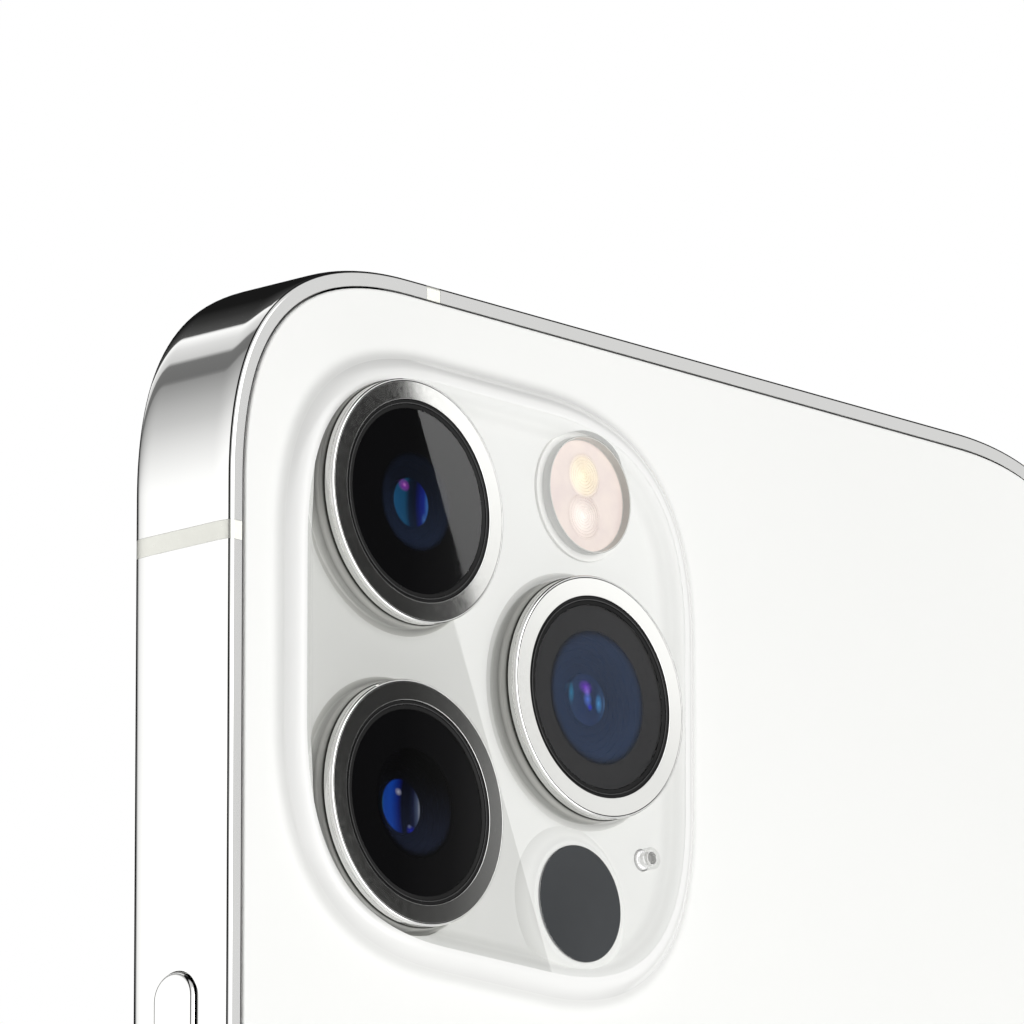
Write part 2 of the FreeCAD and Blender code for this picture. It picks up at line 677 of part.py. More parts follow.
def sensor_notch(extra=0):
    """The notch at the top of the cavity for the earpiece and the front sensors."""
    drop = d.notch_drop + extra
    top = d.body_height - d.wall_depth
    return box(d.notch_width + extra, drop, 0, top - drop / 2)


def make_display_panel():
    body = new_body("display_panel")
    pad(body, phone_outline(d.wall_depth + d.panel_margin), -GLASS_INNER, d.panel_thickness)
    pocket(body, sensor_notch(), -GLASS_INNER, d.panel_thickness)
    return body


def make_middle_plate():
    """The plate that spans the band, notched for the front sensors and the charging port."""
    body = new_body("middle_plate")
    pad(body, phone_outline(d.wall_depth), -d.plate_front, d.plate_thickness)
    pocket(body, sensor_notch(1), -d.plate_front, d.plate_thickness)
    port_notch = box(d.port_width + 1, d.port_depth, 0, d.wall_depth + d.port_depth / 2)
    pocket(body, port_notch, -d.plate_front, d.plate_thickness)
    for level in (0.25, 0.5, 0.72):
        relief = rounded_box(d.battery_width / 2, d.wall_depth * 4, d.wall_depth, 0, d.body_height * level)
        pocket(body, relief, -d.plate_front, d.plate_thickness)
    return body


# Power and electronics.


def make_battery():
    body = new_body("battery")
    pad(body, rounded_box(d.battery_width, d.battery_length, d.wall_depth), 0, d.battery_thickness)
    soften(body, d.band_rounding * 2, level_with("Y", d.battery_thickness))
    place(body, d.battery_width / 2 - d.battery_left, DECK, d.battery_low + d.battery_length / 2)
    return body


def make_logic_board():
    """A long board beside the battery, with a hole for a screw at each end."""
    body = new_body("logic_board")
    pad(body, rounded_box(d.board_width, d.board_length, d.corner_radius / 10), 0, d.board_thickness)
    for end in (-1, 1):
        hole = circle(d.post_radius, 0, end * (d.board_length / 2 - d.post_radius * 2))
        pocket(body, hole, 0, d.board_thickness)
    place(body, d.board_width / 2 - d.board_left, DECK, d.board_low + d.board_length / 2)
    return body


def make_board_shields():
    """Three metal cans over the chips, with the SIM reader between the second and the third."""
    x = d.board_width / 2 - d.board_left
    y = DECK + d.board_thickness
    reader_low = d.door_level - d.door_length / 2
    reader_high = d.door_level + d.door_length / 2 + d.tray_rise
    span = reader_low - d.board_low
    can_length = (span - d.guide_inset * 4) / 2
    levels = [d.board_low + d.guide_inset * 2 + can_length / 2,
              reader_low - d.guide_inset - can_length / 2,
              reader_high + d.guide_inset / 2 + can_length / 2]
    width = d.board_width - d.guide_inset
    return group("board_shields", [block(f"shield_{i}", x, y, z, width, d.shield_height, can_length)
                                   for i, z in enumerate(levels, start=1)])


def make_magnet_ring():
    """Eighteen arc magnets around the charging coil."""
    count = 18
    outer = rod("ring_disc", 0, d.coil_level, MID_HEIGHT, d.ring_outer_radius, d.coil_thickness)
    inner = rod("ring_bore", 0, d.coil_level, MID_HEIGHT, d.ring_inner_radius, d.coil_thickness)
    whole = cut("ring_blank", outer, inner)
    gaps = []
    for i in range(count // 2):
        gap = document.addObject("Part::Box", f"magnet_gap_{i}")
        bind(gap, "Length", d.magnet_gap)
        bind(gap, "Width", d.coil_thickness)
        bind(gap, "Height", d.ring_outer_radius * 2)
        turn = FreeCAD.Rotation(FreeCAD.Vector(0, 1, 0), i * 360 / count)
        corner = FreeCAD.Vector(-d.magnet_gap.value / 2, 0, -d.ring_outer_radius.value)
        middle = FreeCAD.Vector(0, d.coil_level.value, MID_HEIGHT.value)
        gap.Placement = FreeCAD.Placement(middle + turn.multVec(corner), turn)
        gaps.append(gap)
    return cut("magnet_ring", whole, join("magnet_gaps", gaps))


def make_charging_coil():
    body = new_body("charging_coil")
    pad(body, circle(d.coil_outer_radius), 0, d.coil_thickness)
    pocket(body, circle(d.coil_inner_radius), 0, d.coil_thickness)
    place(body, 0, d.coil_level, MID_HEIGHT)
    return body


# Sound, vibration and the charging port.


def make_loudspeaker_box():
    """A box that is open towards the middle plate, with an outlet towards the sound holes."""
    body = new_body("loudspeaker_box")
    wall = d.speaker_wall
    pad(body, rounded_box(d.speaker_length, d.speaker_width, wall * 2), 0, d.speaker_thickness)
    inside = rounded_box(d.speaker_length - wall * 2, d.speaker_width - wall * 2, wall)
    pocket(body, inside, 0, d.speaker_thickness - wall)
    outlet = box(d.speaker_length / 2, d.sound_hole_radius * 2, 0, d.speaker_thickness / 2)
    pocket(body, outlet, -d.speaker_width / 2, wall * 2, "XY_Plane")
    place(body, d.speaker_left + d.speaker_length / 2, DECK, d.speaker_low + d.speaker_width / 2)
    return body


def make_loudspeaker_diaphragm():
    body = new_body("loudspeaker_diaphragm")
    margin = d.speaker_wall * 4
    length = d.speaker_length - margin * 2
    width = d.speaker_width - margin * 2
    pad(body, rounded_box(length, width, margin), 0, d.speaker_wall / 2)
    place(body, d.speaker_left + d.speaker_length / 2, DECK + d.speaker_thickness / 2,
          d.speaker_low + d.speaker_width / 2)
    return body


def make_earpiece_speaker():
    depth = GLASS_INNER + d.button_width / 6
    return block("earpiece_speaker", 0, d.gasket_thickness - GLASS_INNER, d.ear_level - d.wall_depth,
                 d.ear_length + d.ear_width * 2, depth, d.notch_drop - d.ear_width)


def make_speaker_meshes():
    """Dust meshes behind the earpiece slot and on the inside of the two rows of sound holes."""
    meshes = [block("ear_mesh", 0, -GLASS_INNER, d.ear_level - d.gasket_gap,
                    d.ear_length + d.ear_width, d.gasket_thickness, d.ear_width * 1.6)]
    width = d.sound_hole_radius * 3
    for side, count in ((1, 6), (-1, 4)):
        run = d.sound_hole_pitch * (count - 1)
        x = side * (d.sound_hole_first + run / 2)
        meshes.append(block(f"mesh_{count}", x, -width / 2, d.wall_depth + d.mesh_thickness / 2,
                            run + width, width, d.mesh_thickness))
    return group("speaker_meshes", meshes)


def make_charge_port():
    """A drawn metal shell with a plastic tongue and a back wall."""
    shell = new_body("charge_port_shell")
    outside = slot(d.port_width, d.port_height, upright=False)
    inner_width = d.port_width - d.port_wall * 2
    inner_height = d.port_height - d.port_wall * 2
    inside = slot(inner_width, inner_height, upright=False)
    pad(shell, outside, d.port_setback, d.port_depth, "XY_Plane")
    pocket(shell, inside, d.port_setback, d.port_depth, "XY_Plane")
    tongue = new_body("charge_port_tongue")
    back = d.port_setback + d.port_depth - d.port_wall * 2
    pad(tongue, inside, back, d.port_wall * 2, "XY_Plane")
    start = d.port_setback + d.port_wall * 2
    pad(tongue, box(d.tongue_width, d.tongue_thickness), start, back - start, "XY_Plane")
    return [shell, tongue]


def make_bottom_screws():
    """Two screws beside the charging port, each with a six-sided socket."""
    screws = []
    for side, name in ((-1, "left"), (1, "right")):
        body = new_body(f"{name}_bottom_screw")
        pad(body, circle(d.screw_head_radius), d.screw_setback, d.screw_head_height, "XY_Plane")
        shank = d.wall_depth - d.screw_setback - d.screw_head_height
        pad(body, circle(d.screw_radius), d.screw_setback + d.screw_head_height, shank, "XY_Plane")
        corners = []
        for i in range(6):
            turn = math.radians(60 * i)
            across, up = round(math.cos(turn), 4), round(math.sin(turn), 4)
            corners.append((d.screw_radius * across, d.screw_radius * up))
        pocket(body, polygon(corners), d.screw_setback, d.screw_head_height / 2, "XY_Plane")
        place(body, side * d.screw_offset)
        screws.append(body)
    return group("bottom_screws", screws)


def make_haptic_motor():
    """A case that is open towards the middle plate, a flat coil on its floor and a sliding mass."""
    x = d.haptic_length / 2 - d.haptic_left
    z = d.haptic_low + d.haptic_width / 2
    wall = d.case_wall
    case = new_body("haptic_case")
    pad(case, rounded_box(d.haptic_length, d.haptic_width, wall * 2), 0, d.haptic_thickness)
    inside = box(d.haptic_length - wall * 2, d.haptic_width - wall * 2)
    pocket(case, inside, 0, d.haptic_thickness - wall)
    place(case, x, DECK, z)
    coil = new_body("haptic_coil")
    pad(coil, slot(d.haptic_width - wall * 8, d.haptic_width / 2), 0, wall)
    pocket(coil, slot(d.haptic_width / 2, wall * 4), 0, wall)
    place(coil, x, DECK + d.haptic_thickness - wall * 2, z)
    mass = new_body("haptic_mass")
    pad(mass, rounded_box(d.haptic_mass_length, d.haptic_mass_width, wall), 0, d.haptic_mass_thickness)
    place(mass, x, DECK + wall, z)
    return [case, coil, mass]


# Cameras, flash, depth scanner and microphones.


def make_trim_ring(name, x, z):
    """A turned ring: a flange under the glass, a straight wall and a flat face with a bevelled inside."""
    body = new_body(f"{name}_trim_ring")
    flange = GLASS_INNER - d.flange_thickness
    bevel_radius = d.cover_radius + d.trim_bevel
    revolve(body, [
        (d.trim_seat, flange), (d.flange_radius, flange), (d.flange_radius, GLASS_INNER),
        (d.trim_radius, GLASS_INNER), (d.trim_radius, d.trim_face - d.trim_chamfer),
        (d.trim_radius - d.trim_chamfer, d.trim_face), (bevel_radius, d.trim_face),
        (d.cover_radius, COVER_FACE), (d.cover_radius, COVER_INNER), (d.trim_seat, COVER_INNER),
    ])
    place(body, x, 0, z)
    return body


def make_cover_lens(name, x, z):
    body = new_body(f"{name}_cover_lens")
    pad(body, circle(d.cover_radius), 0, d.cover_thickness)
    place(body, x, COVER_INNER, z)
    return body


def make_barrel(name, x, z, pupil):
    """A tube with a front wall, whose opening widens inwards from the pupil."""
    body = new_body(f"{name}_lens_barrel")
    front = COVER_FACE - pupil
    inner = front - d.barrel_front
    revolve(body, [
        (d.barrel_bore, d.barrel_foot), (d.barrel_radius, d.barrel_foot), (d.barrel_radius, front),
        (d.pupil_radius, front), (d.pupil_radius, inner), (d.barrel_bore, inner),
    ])
    place(body, x, 0, z)
    return body


def make_front_element(name, x, z, pupil):
    """A glass element with a shoulder behind the barrel's front wall and a domed nose in the pupil."""
    body = new_body(f"{name}_front_element")
    top = COVER_FACE - pupil - d.element_gap
    shoulder = COVER_FACE - pupil - d.barrel_front
    nose = d.pupil_radius - d.element_gap
    revolve(body, [
        (0, top - d.element_height), (d.barrel_bore, top - d.element_height), (d.barrel_bore, shoulder),
        (nose, shoulder), (nose, top - nose * 0.25), (nose * 0.8, top - nose * 0.12),
        (nose * 0.5, top - nose * 0.04), (0, top),
    ])
    place(body, x, 0, z)
    return body


def make_camera_housings():
    """Three square housings, each with a floor under the bore where its lens barrel slides."""
    housings = []
    for name, (x, z, _) in LENSES.items():
        body = new_body(f"{name}_housing")
        depth = d.housing_back - DECK
        pad(body, rounded_box(d.housing_size, d.housing_size, d.housing_floor), 0, depth)
        pocket(body, circle(d.housing_bore), d.housing_floor, depth - d.housing_floor)
        place(body, x, DECK, z)
        housings.append(body)
    return group("camera_housings", housings)


def make_image_sensors():
    sensors = []
    for name, (x, z, _) in LENSES.items():
        width = d.housing_bore * 1.5
        sensors.append(block(f"{name}_sensor", x, DECK + d.housing_floor, z, width, d.sensor_thickness,
                             width * 0.75))
    return group("image_sensors", sensors)


def bracket_posts():
    """Places of the four posts, beside the flanges of the trim rings."""
    inner = d.tele_x - d.flange_radius - d.post_radius
    high = d.ultra_z + d.flange_radius
    low = d.lidar_z - d.post_radius
    return [(d.post_left, high), (inner, high), (d.post_left, low - d.post_radius), (inner, low)]


def make_camera_bracket():
    """A plate around the three housings, on four posts that stand on the middle plate."""
    body = new_body("camera_bracket")
    margin = d.bracket_margin * 2
    level = d.housing_back - d.bracket_thickness
    plate = rounded_box(d.plateau_width - margin, d.plateau_length - margin,
                        d.plateau_radius / 2, d.plateau_x, d.plateau_z)
    pad(body, plate, level, d.bracket_thickness)
    for x, z, _ in LENSES.values():
        housing = rounded_box(d.housing_size, d.housing_size, d.housing_floor, x, z)
        pocket(body, housing, level, d.bracket_thickness)
    pocket(body, circle(d.lidar_radius, d.lidar_x, d.lidar_z), level, d.bracket_thickness)
    for x, z in bracket_posts():
        pad(body, circle(d.post_radius, x, z), PLATE_BACK, level - PLATE_BACK)
    for x, z in bracket_posts():
        depth = d.post_radius * 3
        pocket(body, circle(d.bracket_screw_radius, x, z), d.housing_back - depth, depth)
    return body


def make_bracket_screws():
    screws = []
    for i, (x, z) in enumerate(bracket_posts(), start=1):
        shank = rod(f"bracket_shank_{i}", x, d.housing_back - d.post_radius * 3, z,
                    d.bracket_screw_radius, d.post_radius * 3)
        head = rod(f"bracket_head_{i}", x, d.housing_back, z, d.bracket_head_radius, d.bracket_head_height)
        screws.append(join(f"bracket_screw_{i}", [shank, head]))
    return group("bracket_screws", screws)


def make_windows():
    """The flash lens and the depth scanner's dark window, flush with the plateau."""
    windows = []
    for label, x, z, radius in (("flash_lens", d.flash_x, d.flash_z, d.flash_radius),
                                ("lidar_window", d.lidar_x, d.lidar_z, d.lidar_radius)):
        body = new_body(label)
        pad(body, circle(radius), 0, d.window_thickness)
        place(body, x, PLATEAU_FACE - d.window_thickness, z)
        windows.append(body)
    return windows


def make_flash_leds():
    """A small board with a cool and a warm light source."""
    board_size = d.flash_radius * 1.3
    board = block("flash_board", d.flash_x, d.housing_back, d.flash_z, board_size,
                  d.bracket_thickness, board_size)
    pieces = [board]
    for side, name in ((-1, "warm"), (1, "cool")):
        x = d.flash_x + side * board_size / 4
        pieces.append(block(f"{name}_led", x, d.housing_back + d.bracket_thickness, d.flash_z,
                            board_size / 3, d.sensor_thickness, board_size / 1.6))
    return join("flash_leds", pieces)


def make_lidar_module():
    """A block under the bracket with an emitter and a receiver that look through its hole."""
    level = d.housing_back - d.bracket_thickness
    depth = d.housing_floor * 1.5
    base = block("lidar_base", d.lidar_x, level - depth, d.lidar_z, d.lidar_radius * 2, depth,
                 d.lidar_radius * 1.8)
    pieces = [base]
    for side, name in ((-1, "emitter"), (1, "receiver")):
        z = d.lidar_z + side * d.lidar_radius / 2.2
        pieces.append(rod(f"lidar_{name}", d.lidar_x, level, z, d.lidar_radius / 2.6, depth))
    return join("lidar_module", pieces)


def make_rear_microphone():
    """A capsule under the bracket's plate and a short tube to the hole in the glass."""
    tube_wall = d.microphone_radius / 2
    outer = rod("microphone_outside", d.microphone_x, d.housing_back, d.microphone_z,
                d.microphone_radius + tube_wall, LEDGE - d.housing_back)
    inner = rod("microphone_inside", d.microphone_x, d.housing_back, d.microphone_z,
                d.microphone_radius, LEDGE - d.housing_back)
    return cut("rear_microphone", outer, inner)


def make_front_sensors():
    """The front camera, and two sensors on the other side of the earpiece."""
    level = d.body_height - d.wall_depth - d.notch_drop / 2
    camera = rod("front_camera", d.notch_width * 0.3, -GLASS_INNER, level, d.door_depth * 1.3,
                 GLASS_INNER + d.sensor_thickness)
    sensors = []
    for i, share in enumerate((0.3, 0.43), start=1):
        sensors.append(rod(f"front_sensor_{i}", -d.notch_width * share, -GLASS_INNER, level,
                           d.door_depth, GLASS_INNER))
    return [camera, group("front_sensors", sensors)]


# Buttons, ring switch and SIM tray.


def make_button(label, side, level, length):
    """A cap with round ends, a pin for the switch and two guide pins; its own +X points outwards."""
    body = new_body(label)
    gap = d.button_gap * 2
    back = d.button_room - d.button_recess
    thickness = d.button_stand_out - back
    pad(body, slot(length - gap, d.button_width - gap), back, thickness, "YZ_Plane")
    soften(body, d.button_rounding, level_with("X", d.button_stand_out))
    tip = -d.wall_depth - d.pin_reach
    pad(body, circle(d.pin_radius), tip, back - tip, "YZ_Plane")
    for end in (-1, 1):
        guide = end * (length / 2 - d.guide_inset)
        pad(body, circle(d.guide_radius, 0, guide), tip, back - tip, "YZ_Plane")
    place(body, side * HALF_WIDTH, -d.button_offset, level, (0, 0, 1), 0 if side > 0 else 180)
    return body


def make_button_switches():
    """One switch behind each button's middle pin."""
    face = HALF_WIDTH - d.wall_depth - d.pin_reach - d.switch_gap
    depth = d.housing_floor
    side_level = d.side_button_top - d.side_button_length / 2
    places = [("side", 1, side_level), ("volume_up", -1, d.volume_up_level),
              ("volume_down", -1, d.volume_down_level)]
    switches = []
    for name, side, level in places:
        x = side * (face - depth / 2)
        switches.append(block(f"{name}_switch", x, -d.button_offset - d.button_width / 3, level,
                              depth, d.button_width / 1.5, d.button_width))
    return group("button_switches", switches)


def make_ring_switch():
    """A tab that slides across the band, on a stem through the wall."""
    body = new_body("ring_switch")
    y = -d.ringer_travel / 2
    tab_length = d.ringer_length - d.button_width + d.ringer_tab
    back = d.button_gap - d.ringer_recess
    pad(body, rounded_box(d.ringer_tab, tab_length, d.ringer_tab / 3), back, d.button_stand_out - back,
        "YZ_Plane")
    soften(body, d.button_rounding, level_with("X", d.button_stand_out))
    tip = -d.wall_depth - d.pin_reach
    pad(body, box(d.ringer_stem, d.ringer_stem * 2), tip, back - tip, "YZ_Plane")
    place(body, -HALF_WIDTH, y, d.ringer_level, (0, 0, 1), 180)
    return body


def make_sim_tray():
    """A door with an eject hole, and a frame behind it with a pocket for the card."""
    body = new_body("sim_tray")
    gap = d.door_gap * 2
    pad(body, slot(d.door_length - gap, d.door_width - gap), 0, d.door_depth, "YZ_Plane")
    pad(body, box(d.tray_thickness, d.tray_width, 0, d.tray_rise), d.door_depth, d.tray_length, "YZ_Plane")
    pocket(body, circle(d.door_pin_radius, 0, -d.door_pin_drop), 0, d.door_depth, "YZ_Plane")
    middle = d.door_depth + d.tray_length / 2
    bed = box(d.card_length + d.card_gap * 2, d.card_width + d.card_gap * 2, middle, d.tray_rise)
    pocket(body, bed, d.tray_thickness / 2 - d.card_thickness, d.card_thickness)
    window = box(d.card_length - d.card_gap * 20, d.card_width - d.card_gap * 20, middle, d.tray_rise)
    pocket(body, window, -d.tray_thickness / 2, d.tray_thickness)
    place(body, -HALF_WIDTH, 0, d.door_level)
    return body


def make_sim_card():
    """A card with one cut corner."""
    body = new_body("sim_card")
    w = d.card_length / 2
    h = d.card_width / 2
    corner = d.card_width / 5
    outline = polygon([(-w, -h), (w, -h), (w, h - corner), (w - corner, h), (-w, h)])
    pad(body, outline, 0, d.card_thickness)
    place(body, d.door_depth + d.tray_length / 2 - HALF_WIDTH, d.tray_thickness / 2 - d.card_thickness,
          d.door_level + d.tray_rise)
    return body


def make_sim_reader():
    """A flat cage on the logic board, open towards the SIM tray."""
    body = new_body("sim_reader")
    y = DECK + d.board_thickness
    gap = d.tray_gap * 2
    wall = d.case_wall
    start = d.wall_depth + d.door_gap
    length = d.door_depth + d.tray_length - start + wall * 2
    thickness = d.tray_thickness / 2 + d.tray_gap + wall - y
    width = d.tray_width + gap + wall * 4
    outside = box(thickness, width, y + thickness / 2, d.door_level + d.tray_rise)
    inside = box(d.tray_thickness + gap, d.tray_width + gap, 0, d.door_level + d.tray_rise)
    pad(body, outside, start, length, "YZ_Plane")
    pocket(body, inside, start, length - wall, "YZ_Plane")
    place(body, -HALF_WIDTH)
    return body


def make_all():
    """Builds every sub-part, in the order in which a bench would lay them out."""
    side_middle = d.side_button_top - d.side_button_length / 2
    parts = make_band()
    parts += [make_middle_plate(), make_rear_glass(), make_rear_film(), make_front_glass()]
    parts.append(make_gasket("rear_gasket", LEDGE, GLASS_FACE - d.lip_drop))
    parts.append(make_gasket("front_gasket", -LEDGE, GLASS_FACE - d.lip_drop))
    parts += [make_display_panel(), make_battery(), make_logic_board(), make_board_shields()]
    parts += [make_charging_coil(), make_magnet_ring()]
    parts += [make_loudspeaker_box(), make_loudspeaker_diaphragm(), make_speaker_meshes()]
    parts.append(make_earpiece_speaker())
    parts += make_charge_port()
    parts.append(make_bottom_screws())
    parts += make_haptic_motor()
    for name, (x, z, pupil) in LENSES.items():
        parts += [make_trim_ring(name, x, z), make_cover_lens(name, x, z)]
        parts += [make_barrel(name, x, z, pupil), make_front_element(name, x, z, pupil)]
    parts += [make_camera_housings(), make_image_sensors(), make_camera_bracket(), make_bracket_screws()]
    parts += make_windows()
    parts += [make_flash_leds(), make_lidar_module(), make_rear_microphone()]
    parts += make_front_sensors()
    parts.append(make_button("side_button", 1, side_middle, d.side_button_length))
    parts.append(make_button("volume_up_button", -1, d.volume_up_level, d.volume_length))
    parts.append(make_button("volume_down_button", -1, d.volume_down_level, d.volume_length))
    parts += [make_button_switches(), make_ring_switch()]
    parts += [make_sim_tray(), make_sim_card(), make_sim_reader()]
    document.recompute()
    return parts


def check(parts):
    """Stops on any failed object of the document or any empty or broken sub-part."""
    for item in document.Objects:
        if "Invalid" in item.State or "Error" in item.State:
            raise RuntimeError(f"{item.Label} failed: {item.State}")
    for part in parts:
        if part.Shape.isNull() or not part.Shape.isValid() or not part.Shape.Solids:
            raise RuntimeError(f"{part.Label} has no valid solid")


sub_parts = make_all()
check(sub_parts)
os.makedirs("parts", exist_ok=True)
for sub_part in sub_parts:
    sub_part.Shape.exportStep(os.path.join("parts", f"{sub_part.Label}.step"))
    bounds = sub_part.Shape.BoundBox
    print(f"{sub_part.Label:24s} solids {len(sub_part.Shape.Solids):2d} volume {sub_part.Shape.Volume:10.3f}"
          f"  x {bounds.XMin:8.2f} {bounds.XMax:8.2f}  y {bounds.YMin:6.2f} {bounds.YMax:6.2f}"
          f"  z {bounds.ZMin:7.2f} {bounds.ZMax:7.2f}")
print(f"{len(sub_parts)} sub-parts")
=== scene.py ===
"""Looks of the smartphone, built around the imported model. Lengths are in millimetres until a mesh is made."""

import json
import math

import bmesh
import bpy
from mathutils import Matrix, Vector


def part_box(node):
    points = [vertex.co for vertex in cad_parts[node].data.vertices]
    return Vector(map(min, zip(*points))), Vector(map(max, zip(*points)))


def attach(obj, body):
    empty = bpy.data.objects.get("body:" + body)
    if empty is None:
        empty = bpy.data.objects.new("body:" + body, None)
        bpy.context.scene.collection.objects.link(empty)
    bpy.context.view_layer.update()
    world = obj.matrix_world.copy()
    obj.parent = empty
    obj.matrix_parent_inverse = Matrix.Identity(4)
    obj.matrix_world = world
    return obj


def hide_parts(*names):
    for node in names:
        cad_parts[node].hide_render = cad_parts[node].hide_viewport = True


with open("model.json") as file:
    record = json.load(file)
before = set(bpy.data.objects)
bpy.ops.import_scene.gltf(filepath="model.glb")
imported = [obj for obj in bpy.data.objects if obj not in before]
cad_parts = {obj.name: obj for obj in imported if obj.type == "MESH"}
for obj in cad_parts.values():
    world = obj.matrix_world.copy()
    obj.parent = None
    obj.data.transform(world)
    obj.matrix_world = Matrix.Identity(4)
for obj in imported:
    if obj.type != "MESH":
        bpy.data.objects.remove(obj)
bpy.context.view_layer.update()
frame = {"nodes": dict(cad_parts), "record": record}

MM = 0.001


def cad_box(node):
    """Lowest and highest corner of a CAD node, in millimetres."""
    low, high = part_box(node)
    return low / MM, high / MM


# Levels and places, from the frame.

BAND_LOW, BAND_HIGH = cad_box("right_rail")
REAR_LOW, REAR_HIGH = cad_box("rear_glass")
HALF_WIDTH = BAND_HIGH.x
HEIGHT = cad_box("antenna_splits")[1].z
BAND_FACE = BAND_HIGH.y
GLASS_INSET = HALF_WIDTH - REAR_HIGH.x
GLASS_UNDER = REAR_LOW.y
GLASS_FACE = -cad_box("front_glass")[0].y
PLATEAU_FACE = REAR_HIGH.y
RIM_INSET = 0.87
WALL_INSET = HALF_WIDTH - BAND_LOW.x
LEDGE = 2.95
LENS_NAMES = ("tele", "wide", "ultra_wide")


class Round:
    """A round CAD node on the camera plateau: its centre, radius and levels."""

    def __init__(self, node):
        low, high = cad_box(node)
        self.x = (low.x + high.x) / 2
        self.z = (low.z + high.z) / 2
        self.radius = (high.x - low.x) / 2
        self.back = low.y
        self.face = high.y


COVERS = {name: Round(f"{name}_cover_lens") for name in LENS_NAMES}
TRIMS = {name: Round(f"{name}_trim_ring") for name in LENS_NAMES}
BARRELS = {name: Round(f"{name}_lens_barrel") for name in LENS_NAMES}
ELEMENTS = {name: Round(f"{name}_front_element") for name in LENS_NAMES}
FLASH = Round("flash_lens")
SCANNER = Round("lidar_window")
MICROPHONE = Round("rear_microphone")
RING_RADIUS = 6.65
LENS_BODIES = {"tele": "tele_lens", "wide": "wide_lens", "ultra_wide": "phone"}

# Camera and light.

CAMERA_AIM = Vector((14.21, 3.7, 135.26))
CAMERA_AZIMUTH = 133.05
CAMERA_ELEVATION = -14.44
CAMERA_DISTANCE = 859.6
LENS_LENGTH = 562.5


def camera_back():
    """Unit vector from the aim to the camera."""
    turn = math.radians(CAMERA_AZIMUTH)
    rise = math.radians(CAMERA_ELEVATION)
    return Vector((math.sin(turn) * math.cos(rise), -math.cos(turn) * math.cos(rise), math.sin(rise)))


CAMERA_PLACE = CAMERA_AIM + camera_back() * CAMERA_DISTANCE


def link_object(name, data):
    """A new object in the scene."""
    item = bpy.data.objects.new(name, data)
    bpy.context.scene.collection.objects.link(item)
    return item


def mesh_object(name, bm, materials=()):
    """A new object from a mesh under work, which it uses up."""
    mesh = bpy.data.meshes.new(name)
    bm.to_mesh(mesh)
    bm.free()
    for material in materials:
        mesh.materials.append(material)
    return link_object(name, mesh)


def make_camera():
    """A long lens, aimed at the upper corner of the back."""
    data = bpy.data.cameras.new("camera")
    data.lens = LENS_LENGTH
    data.clip_start = 0.01
    data.clip_end = 100
    camera = link_object("camera", data)
    camera.location = CAMERA_PLACE * MM
    camera.rotation_mode = "QUATERNION"
    camera.rotation_quaternion = (-camera_back()).to_track_quat("-Z", "Y")
    bpy.context.scene.camera = camera


# Node materials.


